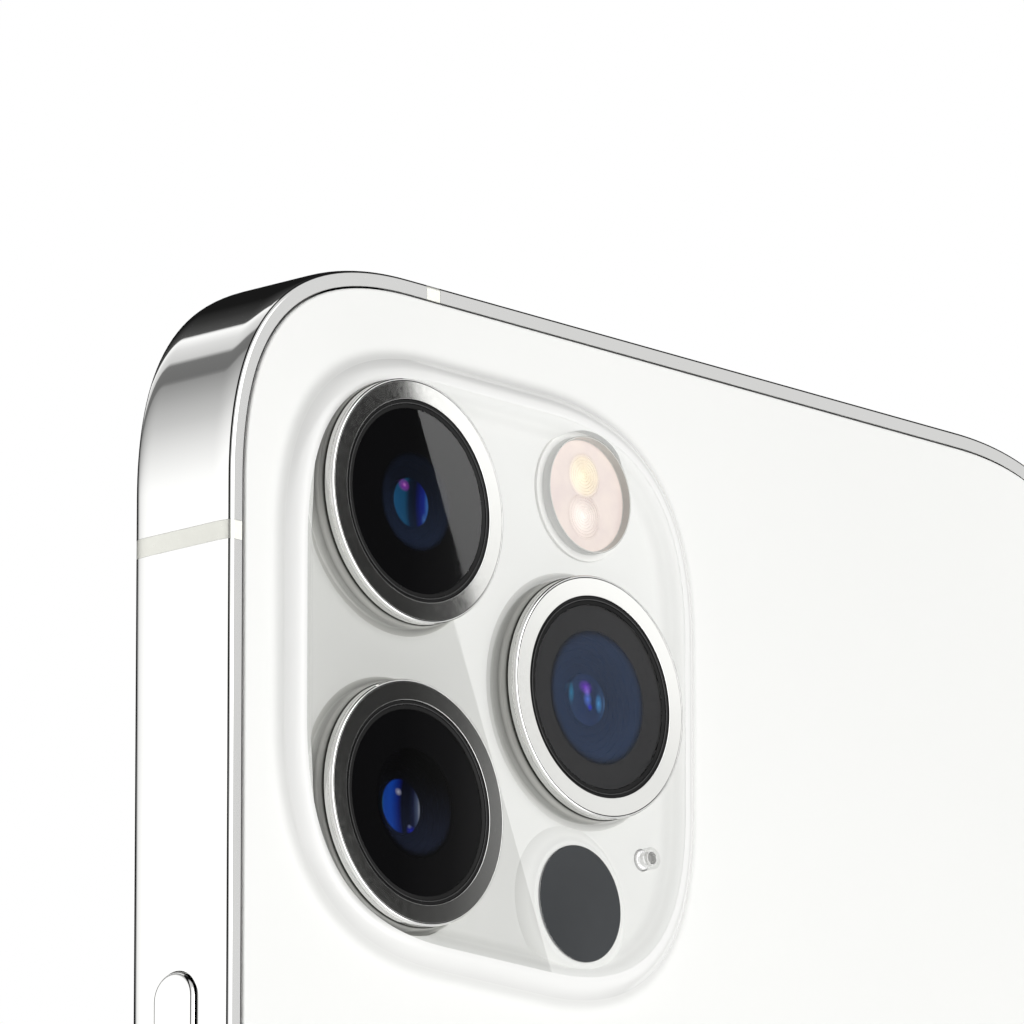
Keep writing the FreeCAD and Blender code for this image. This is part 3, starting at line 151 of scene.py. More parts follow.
class Nodes:
    """A short way to write a node tree."""

    def __init__(self, tree):
        self.tree = tree

    def put(self, node, key, value):
        """Sets an input, or links it where the value is a socket."""
        if isinstance(value, bpy.types.NodeSocket):
            self.tree.links.new(value, node.inputs[key])
        else:
            node.inputs[key].default_value = value

    def fill(self, node, **inputs):
        """Sets or links inputs by name, with spaces written as underscores."""
        for key, value in inputs.items():
            self.put(node, key.replace("_", " "), value)

    def add(self, kind, settings=None, **inputs):
        """Adds a node with its settings and inputs."""
        node = self.tree.nodes.new(kind)
        for key, value in (settings or {}).items():
            setattr(node, key, value)
        self.fill(node, **inputs)
        return node

    def math(self, operation, *values):
        """The result of a sum on numbers or sockets."""
        node = self.add("ShaderNodeMath", {"operation": operation})
        for i, value in enumerate(values):
            self.put(node, i, value)
        return node.outputs[0]

    def vector(self, operation, first, second=(0, 0, 0), out="Vector"):
        """The result of a sum on two vectors."""
        node = self.add("ShaderNodeVectorMath", {"operation": operation})
        self.put(node, 0, first)
        self.put(node, 1, second)
        return node.outputs[out]

    def axis(self, vector, number):
        """One of a vector's three parts."""
        return self.add("ShaderNodeSeparateXYZ", Vector=vector).outputs[number]

    def ramp(self, factor, stops, smooth=False):
        """A colour ramp through (place, colour) stops; a single number is a grey."""
        node = self.add("ShaderNodeValToRGB", Fac=factor)
        node.color_ramp.interpolation = "EASE" if smooth else "LINEAR"
        elements = node.color_ramp.elements
        while len(elements) < len(stops):
            elements.new(0.5)
        for element, (place, colour) in zip(elements, sorted(stops, key=lambda stop: stop[0])):
            element.position = place
            element.color = (*(colour[:3] if isinstance(colour, tuple) else (colour,) * 3), 1.0)
        return node.outputs["Color"]

    def remap(self, value, from_low, from_high, to_low=0.0, to_high=1.0):
        """Maps one range to another and holds the value inside it."""
        node = self.add("ShaderNodeMapRange", Value=value, From_Min=from_low, From_Max=from_high,
                        To_Min=to_low, To_Max=to_high)
        return node.outputs["Result"]

    def mix(self, factor, first, second, blend="MIX"):
        """A mix of two colours."""
        node = self.add("ShaderNodeMix", {"data_type": "RGBA", "blend_type": blend})
        for key, value in ((0, factor), (6, first), (7, second)):
            self.put(node, key, value)
        return node.outputs[2]

    def place(self):
        """The point on the piece at rest, in metres, in the frame."""
        return self.add("ShaderNodeTexCoord").outputs["Object"]

    def noise(self, per_mm, detail=3.0, roughness=0.5, where=None):
        """Cloudy noise, with about so many spots in a millimetre."""
        node = self.add("ShaderNodeTexNoise", Vector=where or self.place(), Scale=per_mm / MM, Detail=detail,
                        Roughness=roughness)
        return node.outputs["Fac"]

    def tone(self, value, low, high):
        """Turns the usual range of a noise into another range."""
        return self.remap(value, 0.3, 0.7, low, high)

    def cloudy(self, value, dark, light):
        """Two colours, mixed by a noise."""
        return self.ramp(value, [(0.3, dark), (0.7, light)])

    def bump(self, height, depth):
        """A bump whose height of 1 is depth millimetres."""
        return self.add("ShaderNodeBump", Height=height, Strength=1.0, Distance=depth * MM).outputs["Normal"]


def rgb(red, green, blue):
    """A display colour, 0 to 255, as linear light."""
    linear = []
    for value in (red, green, blue):
        share = value / 255
        linear.append(share / 12.92 if share <= 0.04045 else ((share + 0.055) / 1.055) ** 2.4)
    return (*linear, 1.0)


def scaled(colour, factor):
    """A lighter or darker colour."""
    return tuple(min(1.0, value * factor) for value in colour[:3])


FINISHES = {}


def new_material(name):
    """A material with only a Principled shader and its output, kept under its name."""
    material = bpy.data.materials.new(name)
    material.use_nodes = True
    FINISHES[name] = material
    return Nodes(material.node_tree), material.node_tree.nodes["Principled BSDF"]


TONE_GRAIN = 0.15


def surface(name, colour, metallic=0.0, roughness=0.4, spread=0.05, grain=2.0, tone=0.06, bump=0.0,
            **sockets):
    """A solid finish: a slow change of tone, a fine change of roughness, and a fine grain in relief."""
    nodes, shader = new_material(name)
    slow = nodes.noise(TONE_GRAIN, 4.0)
    fine = nodes.noise(grain, 6.0, 0.6)
    tones = nodes.cloudy(slow, scaled(colour, 1 - tone), scaled(colour, 1 + tone))
    rough = nodes.tone(fine, max(0.0, roughness - spread), roughness + spread)
    nodes.fill(shader, Base_Color=tones, Roughness=rough, Metallic=metallic, **sockets)
    if bump:
        nodes.put(shader, "Normal", nodes.bump(fine, bump))


def polished_steel():
    """Mirror-polished steel with faint hazing and a few hair-thin rub marks."""
    nodes, shader = new_material("polished_steel")
    haze = nodes.noise(0.08, 3.0)
    stretched = nodes.vector("MULTIPLY", nodes.place(), (9.0, 0.5, 0.6))
    rub = nodes.remap(nodes.noise(0.9, 8.0, 0.75, stretched), 0.62, 0.8, 0.0, 0.05)
    nodes.fill(shader, Base_Color=nodes.cloudy(haze, (0.80, 0.80, 0.785), (0.83, 0.83, 0.82)), Metallic=1.0,
               Roughness=nodes.math("ADD", nodes.tone(haze, 0.035, 0.055), rub))


# Painted shade on the plateau's slope, as tones from the back up to the plateau's face.
SLOPE_PAINTED_SHADE = [(0.0, 1.0), (0.07, 0.96), (0.18, 0.9), (0.33, 0.87), (0.52, 0.89), (0.7, 0.93), (0.86, 0.96),
               (0.96, 0.98), (1.0, 1.0)]


def paint_slope_shade(nodes, colour):
    """Paints shade softly on a colour along the slope between the back and the plateau's face."""
    share = nodes.remap(nodes.axis(nodes.place(), 1), GLASS_FACE * MM, PLATEAU_FACE * MM)
    return nodes.vector("MULTIPLY", colour, nodes.ramp(share, SLOPE_PAINTED_SHADE))


def plateau_gloss():
    """The polished upper part of the plateau's slope, with painted shade along it."""
    nodes, shader = new_material("plateau_gloss")
    slow = nodes.noise(0.1, 3.0)
    colour = nodes.cloudy(slow, (0.845, 0.845, 0.83), (0.86, 0.86, 0.845))
    nodes.fill(shader, Base_Color=paint_slope_shade(nodes, colour), Roughness=nodes.tone(slow, 0.04, 0.08), IOR=1.5)


def frosted_glass():
    """White-backed glass with a fine matte etch, and painted shade on the plateau's slope."""
    nodes, shader = new_material("frosted_glass")
    etch = nodes.noise(9.0, 4.0, 0.7)
    colour = nodes.cloudy(nodes.noise(0.03, 3.0), (0.84, 0.842, 0.824), (0.856, 0.858, 0.84))
    nodes.fill(shader, Base_Color=paint_slope_shade(nodes, colour), Roughness=nodes.tone(etch, 0.38, 0.46),
               Normal=nodes.bump(etch, 0.0012), IOR=1.5)


# Painted shade down the wall of a hole, as display greys from its top to the print.
COLLAR_PAINTED_SHADES = [(0.0, 40), (0.05, 70), (0.1, 140), (0.14, 172), (0.25, 192), (0.34, 200), (0.42, 182),
                 (0.5, 155), (0.56, 150), (0.66, 165), (0.76, 178), (0.88, 192), (1.0, 206)]
WELL_PAINTED_SHADES = [(0.0, 182), (0.3, 198), (0.6, 206), (0.7, 196), (0.74, 214), (0.9, 220), (1.0, 216)]


def painted_depth_shade(name, top, shades):
    """Painted shade on a wall seen through glass, from its top down to the print."""
    nodes, shader = new_material(name)
    waver = nodes.math("MULTIPLY", nodes.noise(0.25, 2.0), 0.04)
    level = nodes.axis(nodes.place(), 1)
    share = nodes.remap(level, top * MM, (PLATEAU_FACE - INK_DEPTH) * MM, -0.02, 0.98)
    stops = [(at, rgb(grey, grey, grey - 4)) for at, grey in shades]
    nodes.fill(shader, Base_Color=nodes.ramp(nodes.math("ADD", share, waver), stops), Roughness=0.5,
               Specular_IOR_Level=0.2)


def plateau_ink():
    """The white print under the clear glass of the camera plateau, a little lighter where it slopes: painted
    light that makes up for the shade of the slope.
    """
    nodes, shader = new_material("plateau_ink")
    depth = nodes.remap(nodes.axis(nodes.place(), 1), PLATEAU_FACE * MM, (PLATEAU_FACE - INK_DEPTH) * MM)
    flat = (0.63, 0.635, 0.612)
    # Painted light: the print is lighter halfway down the dish's slope.
    tones = nodes.ramp(depth, [(0.0, flat), (0.5, (0.74, 0.745, 0.72)), (1.0, flat)])
    waver = nodes.cloudy(nodes.noise(0.1, 4.0), 0.985, 1.0)
    nodes.fill(shader, Base_Color=nodes.vector("MULTIPLY", tones, waver),
               Roughness=nodes.tone(nodes.noise(6.0, 6.0), 0.55, 0.65))


def clear_coat(name, index):
    """Clear glass: it mirrors as glass does, with faint smudges, and lets everything else through."""
    nodes, shader = new_material(name)
    smudge = nodes.noise(0.12, 5.0, 0.6)
    fresnel = nodes.add("ShaderNodeFresnel", IOR=index).outputs[0]
    facing = nodes.math("SUBTRACT", 1.0, nodes.add("ShaderNodeNewGeometry").outputs["Backfacing"])
    nodes.fill(shader, Base_Color=nodes.cloudy(smudge, 0.97, 1.0), Metallic=1.0,
               Roughness=nodes.remap(smudge, 0.4, 0.75, 0.0, 0.03),
               Alpha=nodes.math("MULTIPLY", fresnel, facing))


def radial(nodes, x, z, radius):
    """Distance from an axis along Y, as a share of a radius."""
    flat = nodes.vector("MULTIPLY", nodes.place(), (1, 0, 1))
    away = nodes.vector("DISTANCE", flat, (x * MM, 0, z * MM), out="Value")
    return nodes.math("DIVIDE", away, radius * MM)


def lens_glow(name, lens, radius, colour, strength, top):
    """A painted sheen: the faint blue reflection of a coated dome under its cover, weaker at its top and fading
    at its edge.
    """
    nodes, shader = new_material(name)
    away = radial(nodes, lens.x, lens.z, radius)
    base = nodes.cloudy(nodes.noise(0.5, 3.0), colour, tuple(c * 1.1 for c in colour))
    start, end = (lens.z + 0.6 * radius) * MM, (lens.z - 0.75 * radius) * MM
    # The painted sheen grows weaker towards the top.
    fall = nodes.remap(nodes.axis(nodes.place(), 2), start, end)
    fall = nodes.ramp(fall, [(0.0, top), (1.0, 1.0)], smooth=True)
    fade = [(0.0, strength * 0.6), (0.5, strength * 0.85), (0.85, strength), (1.0, 0.0)]
    nodes.fill(shader, Base_Color=nodes.vector("MULTIPLY", base, fall), Roughness=0.5,
               Specular_IOR_Level=0.0, Alpha=nodes.ramp(away, fade, smooth=True))


def paint_pupil_reflections(name, lens, radius, bands, spots):
    """Painted reflections on a coated element: bands of colour across it, painted shade at its middle and rim,
    and soft painted highlights where the coating flares.
    """
    nodes, shader = new_material(name)
    local = nodes.vector("SUBTRACT", nodes.place(), (lens.x * MM, 0, lens.z * MM))
    local = nodes.vector("MULTIPLY", local, (1 / (radius * MM), 0, 1 / (radius * MM)))
    bend = nodes.math("POWER", nodes.math("ABSOLUTE", nodes.axis(local, 2)), 2.0)
    across = nodes.math("MULTIPLY_ADD", nodes.axis(local, 0), -0.5, 0.5)
    across = nodes.math("SUBTRACT", across, nodes.math("MULTIPLY", bend, 0.1))
    rim = nodes.vector("LENGTH", local, out="Value")
    # Painted shade: a little darker in the middle and dark at the very rim.
    shade = nodes.ramp(rim, [(0.0, 0.75), (0.8, 0.9), (0.93, 1.0), (0.99, 0.05)])
    colour = nodes.mix(1.0, nodes.ramp(across, bands), shade, "MULTIPLY")
    # Painted highlights where the coating flares.
    for x, z, width, height, tint in spots:
        away = nodes.vector("SUBTRACT", local, (x, 0, z))
        away = nodes.vector("MULTIPLY", away, (1 / width, 0, 1 / height))
        away = nodes.vector("LENGTH", away, out="Value")
        flare = nodes.ramp(away, [(0.0, 1.0), (0.4, 0.45), (1.0, 0.0)], smooth=True)
        colour = nodes.mix(flare, colour, (*tint, 1.0))
    nodes.fill(shader, Base_Color=colour, Roughness=0.15, Specular_IOR_Level=0.0)


def studio_world():
    """Even white light on matt surfaces; a studio with a dark ceiling and strip lights in the reflections."""
    world = bpy.data.worlds.new("studio")
    bpy.context.scene.world = world
    world.use_nodes = True
    world.node_tree.nodes.clear()
    nodes = Nodes(world.node_tree)
    direction = nodes.add("ShaderNodeTexCoord").outputs["Generated"]
    turn = nodes.math("ARCTAN2", nodes.axis(direction, 2), nodes.axis(direction, 0))
    share = nodes.remap(turn, -math.pi, math.pi)
    strip = nodes.ramp(share, [((degrees + 180) / 360, level) for degrees, level in STRIP_LIGHT])
    depth = nodes.remap(nodes.axis(direction, 1), -1.0, 1.0)
    zones, room = (nodes.ramp(depth, [((y + 1) / 2, level) for y, level in stops])
                   for stops in (STRIP_EXTENT, ROOM_FILL))
    lit = nodes.math("ADD", nodes.math("MULTIPLY", strip, zones), room)
    path = nodes.add("ShaderNodeLightPath")
    seen, matt, shiny = (path.outputs[f"Is {kind} Ray"] for kind in ("Camera", "Diffuse", "Glossy"))
    level = nodes.math("MULTIPLY_ADD", matt, ROOM_SHARE, nodes.math("MULTIPLY_ADD", lit, shiny, seen))
    background = nodes.add("ShaderNodeBackground", Strength=level, Color=(1.0, 1.0, 1.0, 1.0))
    nodes.add("ShaderNodeOutputWorld", Surface=background.outputs[0])


# Brightness of the strip light by the angle of the reflected ray about Y, from +X towards +Z.
STRIP_LIGHT = [(-180, 0.01), (-73, 0.06), (-67, 1.25), (0, 1.3), (19, 1.3), (39, 0.68), (51, 0.44),
               (58, 0.33), (59.5, 0.18), (71, 0.2), (72.5, 0.72), (82, 0.88), (91, 1.25), (92.5, 0.09),
               (106, 0.035), (120, 0.006), (180, 0.004)]
# Where the strip light reaches, and the light of the rest of the room, by the ray's Y.
STRIP_EXTENT = [(-0.93, 0.0), (-0.89, 1.0), (-0.2, 1.0), (-0.14, 0.0)]
ROOM_FILL = [(-1.0, 0.004), (0.22, 0.01), (0.4, 0.8), (0.7, 0.8), (0.8, 3.0), (1.0, 3.0)]


def emitter(name, stops, start, end):
    """A light or dark board whose brightness runs from start to end, seen only in reflections."""
    material = bpy.data.materials.new(name)
    material.use_nodes = True
    material.node_tree.nodes.clear()
    nodes = Nodes(material.node_tree)
    run = Vector(end) - Vector(start)
    local = nodes.vector("SUBTRACT", nodes.place(), tuple(Vector(start) * MM))
    along = nodes.vector("DOT_PRODUCT", local, tuple(run / (run.length_squared * MM)), out="Value")
    level = nodes.ramp(along, [(place, value / BOARD_TOP) for place, value in stops])
    light = nodes.add("ShaderNodeEmission", Strength=nodes.math("MULTIPLY", level, BOARD_TOP))
    nodes.add("ShaderNodeOutputMaterial", Surface=light.outputs[0])
    return material


def mirrored_place(x, z):
    """Where a board stands whose mirror image the camera sees at (x, z) of the plateau's face."""
    point = Vector((x, PLATEAU_FACE, z))
    ray = (point - CAMERA_PLACE).normalized()
    ray.y = -ray.y
    return point + ray * BOARD_DISTANCE


def board(name, corners, material):
    """A board in the studio that only mirrors show."""
    bm = bmesh.new()
    bm.faces.new([bm.verts.new(corner * MM) for corner in corners])
    item = mesh_object(name, bm, [material])
    for rays in ("camera", "diffuse", "shadow", "transmission"):
        setattr(item, f"visible_{rays}", False)


BOARD_TOP = 10.0
BOARD_DISTANCE = 130.0
BOARD_MARGIN = 0.4
# The edge between the dark and the light board crosses the plateau between these two points.
EDGE_TOP = (24.6, 139.5)
EDGE_FOOT = (11.9, 109.7)
DARK_BOARD = [(0.0, 0.045), (0.45, 0.055), (0.7, 0.13), (0.95, 0.36)]
LIGHT_BOARD = [(0.0, 1.45), (0.45, 1.6), (0.7, 2.1), (1.0, 2.2)]


def clip(points, start, end, side):
    """The part of a convex outline on one side of the line from start to end."""
    run, rise = end[0] - start[0], end[1] - start[1]
    heights = [side * (run * (z - start[1]) - rise * (x - start[0])) for x, z in points]
    kept = []
    for i, first in enumerate(points):
        j = (i + 1) % len(points)
        low, high = heights[i], heights[j]
        if low >= 0:
            kept.append(first)
        if low * high < 0:
            share = low / (low - high)
            kept.append(tuple(a + (b - a) * share for a, b in zip(first, points[j])))
    return kept


def make_boards():
    """A dark and a white board, cut to the plateau's mirror image, that meet in a slanting line across it."""
    outline = inset_loop(plateau_outline(), -BOARD_MARGIN)
    left, right = PLATEAU_X + PLATEAU_HALF_WIDTH, PLATEAU_X - PLATEAU_HALF_WIDTH
    low, high = PLATEAU_Z - PLATEAU_HALF_HEIGHT, PLATEAU_Z + PLATEAU_HALF_HEIGHT
    runs = {"dark_board": (1, DARK_BOARD, (left, PLATEAU_Z), (PLATEAU_X, PLATEAU_Z)),
            "light_board": (-1, LIGHT_BOARD, (PLATEAU_X, low), (right, high))}
    for name, (side, levels, start, end) in runs.items():
        corners = [mirrored_place(x, z) for x, z in clip(outline, EDGE_TOP, EDGE_FOOT, side)]
        board(name, corners, emitter(name, levels, mirrored_place(*start), mirrored_place(*end)))


# The key light comes straight on to the back, the fill light straight on to the front.
KEY_LIGHTS = {"key": (-0.1, 0.985, 0.07), "fill": (0.1, -0.985, 0.07)}
KEY_STRENGTH = 0.79
KEY_SPREAD = 45
ROOM_SHARE = 0.2


def make_lights():
    """Two wide, soft lights for the matt surfaces; the polished ones mirror the studio instead."""
    for name, place in KEY_LIGHTS.items():
        data = bpy.data.lights.new(name, "SUN")
        data.energy = KEY_STRENGTH * math.pi
        data.angle = math.radians(KEY_SPREAD)
        light = link_object(name, data)
        light.rotation_mode = "QUATERNION"
        light.rotation_quaternion = Vector(place).to_track_quat("Z", "Y")
        light.visible_glossy = False


# Meshes.

SHARP_ANGLE = math.radians(28)


def finish_piece(name, bm, finishes, replaced="", body="phone"):
    """Turns a mesh under work into a piece on a body; finishes and replaced nodes are words in a text."""
    bmesh.ops.remove_doubles(bm, verts=bm.verts, dist=1e-4)
    bmesh.ops.recalc_face_normals(bm, faces=bm.faces)
    for face in bm.faces:
        face.smooth = True
    for edge in bm.edges:
        if len(edge.link_faces) == 2 and edge.calc_face_angle(0.0) > SHARP_ANGLE:
            edge.smooth = False
    bmesh.ops.scale(bm, vec=(MM, MM, MM), verts=bm.verts)
    piece = mesh_object(name, bm, [FINISHES[finish] for finish in finishes.split()])
    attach(piece, body)
    if replaced:
        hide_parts(*replaced.split())


CORNER_REACH = 1.165
CORNER_EASE = 0.45
CORNER_FINE = 400
CORNER_STEPS = 40


def corner_curve(radius):
    """An eased corner: points from its sharp corner and their normal angles, from side to end."""
    def angle_at(share):
        return math.pi / 2 * (share - CORNER_EASE * math.sin(2 * math.pi * share) / (2 * math.pi))
    across, up, points = 0.0, 0.0, [(0.0, 0.0, 0.0)]
    for i in range(CORNER_FINE):
        angle = angle_at((i + 0.5) / CORNER_FINE)
        across -= math.sin(angle)
        up += math.cos(angle)
        points.append((across, up, angle_at((i + 1) / CORNER_FINE)))
    reach = radius * CORNER_REACH
    size = reach / up
    return [(x * size, y * size - reach, angle) for x, y, angle in points[::CORNER_FINE // CORNER_STEPS]]


def eased_box(x, z, half_width, half_height, radius):
    """Stations (x, z, normal x, normal z) around a rectangle with eased corners, from its foot's middle."""
    stations = [(x, z - half_height, 0.0, -1.0)]
    quarter = corner_curve(radius)
    for turn in (-1, 0, 1, 2):
        lift = turn * math.pi / 2
        wide, tall = (half_height, half_width) if turn % 2 else (half_width, half_height)
        for across, up, angle in quarter:
            far, side = wide + across, tall + up
            stations.append((x + far * math.cos(lift) - side * math.sin(lift),
                             z + far * math.sin(lift) + side * math.cos(lift),
                             math.cos(angle + lift), math.sin(angle + lift)))
    return stations


def inset_loop(stations, inset):
    """Points at a distance inside an outline."""
    return [(x - nx * inset, z - nz * inset) for x, z, nx, nz in stations]


def circle_loop(x, z, radius, steps):
    """Points around a circle."""
    turns = [2 * math.pi * i / steps for i in range(steps)]
    return [(x + radius * math.cos(turn), z + radius * math.sin(turn)) for turn in turns]


def add_loop(bm, points, level):
    """Vertices over points of (x, z)."""
    return [bm.verts.new((x, level, z)) for x, z in points]


def bridge(bm, first, second, material=0):
    """A row of faces between two closed loops."""
    count = len(first)
    for i in range(count):
        j = (i + 1) % count
        bm.faces.new((first[i], first[j], second[j], second[i])).material_index = material


def layered(bm, outline, levels, material=0, previous=None):
    """Loops along an outline at points of (inset, level), each bridged to the one before."""
    for inset, level in levels:
        loop = add_loop(bm, inset_loop(outline, inset), level)
        if previous:
            bridge(bm, previous, loop, material=material)
        previous = loop
    return previous


def fill_between(bm, loops):
    """Fills a flat region between an outer loop and the loops of its holes."""
    edges = []
    for loop in loops:
        for pair in zip(loop, loop[1:] + loop[:1]):
            edges.append(bm.edges.get(pair) or bm.edges.new(pair))
    bmesh.ops.triangle_fill(bm, use_beauty=True, edges=edges)


# A loop this far outside each rounding keeps the flat beside it flat in shading too.
FLAT_EDGE = 0.004


def rounded(points, steps=6):
    """Rounds the corners of a profile: points are (radius, level) or (radius, level, rounding)."""
    made = []
    count = len(points)
    for i, point in enumerate(points):
        size = point[2] if len(point) > 2 else 0.0
        here = Vector(point[:2])
        if not size:
            made.append(tuple(here))
            continue
        before = (Vector(points[i - 1][:2]) - here).normalized()
        after = (Vector(points[(i + 1) % count][:2]) - here).normalized()
        half = before.angle(after) / 2
        start, end = here + before * size / math.tan(half), here + after * size / math.tan(half)
        centre = here + (before + after).normalized() * size / math.sin(half)
        made.append(tuple(start + before * FLAT_EDGE))
        for step in range(steps + 1):
            blend = (start - centre).lerp(end - centre, step / steps)
            made.append(tuple(centre + blend.normalized() * size))
        made.append(tuple(end + after * FLAT_EDGE))
    return made


def turned(bm, x, z, profile, steps=160, material=0, closed=True):
    """A solid turned about an axis along Y, from (radius, level) points that go round it once."""
    rings = []
    for radius, level in profile:
        if radius < 1e-6:
            rings.append([bm.verts.new((x, level, z))] * steps)
        else:
            rings.append(add_loop(bm, circle_loop(x, z, radius, steps), level))
    pairs = list(zip(rings, rings[1:] + rings[:1]))
    for first, second in pairs if closed else pairs[:-1]:
        for a in range(steps):
            b = (a + 1) % steps
            corners = list(dict.fromkeys((first[a], first[b], second[b], second[a])))
            if len(corners) > 2:
                bm.faces.new(corners).material_index = material


def turned_piece(name, place, profile, finishes, replaced="", body="phone", steps=160, pick=None):
    """A turned piece; pick gives a face's finish. A profile that starts on the axis also ends on it."""
    bm = bmesh.new()
    turned(bm, place.x, place.z, profile, steps, closed=profile[0][0] > 0)
    if pick:
        for face in bm.faces:
            face.material_index = pick(face)
    finish_piece(name, bm, finishes, replaced, body)


OUTLINE = eased_box(0.0, HEIGHT / 2, HALF_WIDTH, HEIGHT / 2, 11.6)

# The metal band.

# Stretches of the band's outer face: the turn of its normal at both ends, its length, and how it turns.
EDGE_RUNS = ((0.0, 15.0, 1.15, 2.0), (15.0, 28.0, 0.11, 1.0), (28.0, 90.0, 0.24, 1.0))
RUN_STEPS = 10
BAND_PROUD = 0.1
GLASS_GAP = 0.03


def band_section():
    """Half of the band's section, from the flat of its outer face to the middle of its inner wall."""
    outer = [(0.0, 0.0)]
    for low, high, length, power in EDGE_RUNS:
        step = length / RUN_STEPS
        for i in range(RUN_STEPS):
            turn = math.radians(low + (high - low) * ((i + 0.5) / RUN_STEPS) ** power)
            inset, level = outer[-1]
            outer.append((inset + step * math.sin(turn), level + step * math.cos(turn)))
    rise = BAND_FACE - outer[-1][1]
    points = [(inset - BAND_PROUD, level + rise) for inset, level in outer]
    points += [(points[-1][0] + 0.01, BAND_FACE), (RIM_INSET - 0.02, BAND_FACE)]
    return points + [(RIM_INSET, BAND_FACE - 0.02), (RIM_INSET, LEDGE), (WALL_INSET, LEDGE)]


def whole_section():
    """The band's closed section."""
    half = band_section()
    return [(inset, -level) for inset, level in reversed(half)] + half


def perimeter(stations):
    """Distance of each station along the outline."""
    distances = [0.0]
    for (x0, z0, _, _), (x1, z1, _, _) in zip(stations, stations[1:]):
        distances.append(distances[-1] + math.hypot(x1 - x0, z1 - z0))
    return distances


def distance_at(axis, level, side):
    """Where the outline crosses a level on one of its four sides."""
    loop = OUTLINE + [OUTLINE[0]]
    distances = perimeter(loop)
    normal, sign = side
    for i in range(len(OUTLINE)):
        first, second = loop[i], loop[i + 1]
        if sign * first[normal] < 0.6 or sign * second[normal] < 0.6:
            continue
        low, high = first[axis], second[axis]
        if (low - level) * (high - level) <= 0 and low != high:
            return distances[i] + (distances[i + 1] - distances[i]) * (level - low) / (high - low)
    raise ValueError(f"the outline does not cross {level}")


def stretch(start, end, spacing=6.0):
    """The outline's stations between two distances, with more where it runs straight."""
    loop = OUTLINE + [OUTLINE[0]]
    distances = perimeter(loop)
    total = distances[-1]
    if end < start:
        end += total
    inside = [at + lap for lap in (0.0, total) for at in distances if start < at + lap < end]
    marks = sorted({start, end, *inside})
    dense = marks[:1]
    for before, mark in zip(marks, marks[1:]):
        count = max(1, math.ceil((mark - before) / spacing))
        dense += [before + (mark - before) * i / count for i in range(1, count + 1)]
    made = []
    for mark in dense:
        at = mark % total
        i = min(max(k for k in range(len(distances)) if distances[k] <= at + 1e-9), len(loop) - 2)
        share = (at - distances[i]) / (distances[i + 1] - distances[i])
        x, z, nx, nz = (a + (b - a) * share for a, b in zip(loop[i], loop[i + 1]))
        length = math.hypot(nx, nz)
        made.append((x, z, nx / length, nz / length))
    return made


def swept(bm, stations, section):
    """Sweeps a closed section of (inset, level) points along stations, with a face at each end."""
    rings = []
    for x, z, nx, nz in stations:
        rings.append([bm.verts.new((x - nx * inset, level, z - nz * inset)) for inset, level in section])
    for first, second in zip(rings, rings[1:]):
        bridge(bm, first, second)
    bm.faces.new(rings[0])
    bm.faces.new(list(reversed(rings[-1])))


RIGHT, TOP, LEFT, FOOT = (2, 1), (3, 1), (2, -1), (3, -1)
X_AXIS, Z_AXIS = 0, 1
# Each length of the band, with the axis, the end of its CAD box and the side where it starts and stops.
BAND_LENGTHS = {
    "bottom_rail": ((X_AXIS, 0, FOOT), (Z_AXIS, 1, RIGHT)),
    "right_rail": ((Z_AXIS, 0, RIGHT), (Z_AXIS, 1, RIGHT)),
    "top_right_corner": ((Z_AXIS, 0, RIGHT), (X_AXIS, 0, TOP)),
    "top_rail": ((X_AXIS, 1, TOP), (Z_AXIS, 0, LEFT)),
    "left_rail": ((Z_AXIS, 1, LEFT), (Z_AXIS, 0, LEFT)),
    "bottom_left_corner": ((Z_AXIS, 1, LEFT), (X_AXIS, 1, FOOT)),
}


def band_cuts():
    """Where each length of the band starts and stops along the outline."""
    cuts = {}
    for name, ends in BAND_LENGTHS.items():
        box = cad_box(name)
        cuts[name] = [distance_at(axis, box[high][2 * axis], side) for axis, high, side in ends]
    return cuts


SLOT_STEPS = 24


def slot_outline(across, up, length, width):
    """Points around an upright slot with round ends."""
    radius = width / 2
    reach = length / 2 - radius
    points = []
    for end in (0, 1):
        for i in range(SLOT_STEPS + 1):
            turn = math.pi * (i / SLOT_STEPS + end)
            lift = reach * (1 - 2 * end) + radius * math.sin(turn)
            points.append((across + radius * math.cos(turn), up + lift))
    return points


def prism(points, plane, start, end):
    """A prism over points of a plane: 'side' has points of (y, z) along X, 'end' has (x, y) along Z."""
    bm = bmesh.new()
    rings = []
    for level in (start, end):
        places = [(level, a, b) if plane == "side" else (a, b, level) for a, b in points]
        rings.append([bm.verts.new(place) for place in places])
    bridge(bm, *rings)
    bm.faces.new(rings[0])
    bm.faces.new(list(reversed(rings[1])))
    return bm


def cut_piece(bm, tools, finishes=""):
    """Cuts tools out of a mesh under work and returns the result."""
    items = []
    for mesh in [bm] + tools:
        bmesh.ops.recalc_face_normals(mesh, faces=mesh.faces)
        items.append(mesh_object("work", mesh, [FINISHES[finish] for finish in finishes.split()]))
    for cutter in items[1:]:
        modifier = items[0].modifiers.new("cut", "BOOLEAN")
        modifier.operation = "DIFFERENCE"
        modifier.solver = "EXACT"
        modifier.object = cutter
    graph = bpy.context.evaluated_depsgraph_get()
    made = bmesh.new()
    made.from_mesh(bpy.data.meshes.new_from_object(items[0].evaluated_get(graph)))
    for item in items:
        bpy.data.objects.remove(item)
    bmesh.ops.dissolve_degenerate(made, dist=1e-4, edges=made.edges)
    return made


BUTTON_GAP = 0.1
BUTTON_RECESS = 1.6
# Length, width and depth of the openings around the ring switch and the tray's door.
SWITCH_SLOT = (6.3, 3.1, 0.9)
DOOR_SLOT = (15.5, 2.3, 1.4)
SCREW_RADIUS = 0.85
SCREW_SINK = 0.72
HOLE_RADIUS = 0.72
HOLE_PITCH = 2.5
FIRST_HOLE = 10.2
HOLE_COUNTS = ((1, 6), (-1, 4))
SPLIT_GAP = 0.012
SPLIT_SINK = 0.004


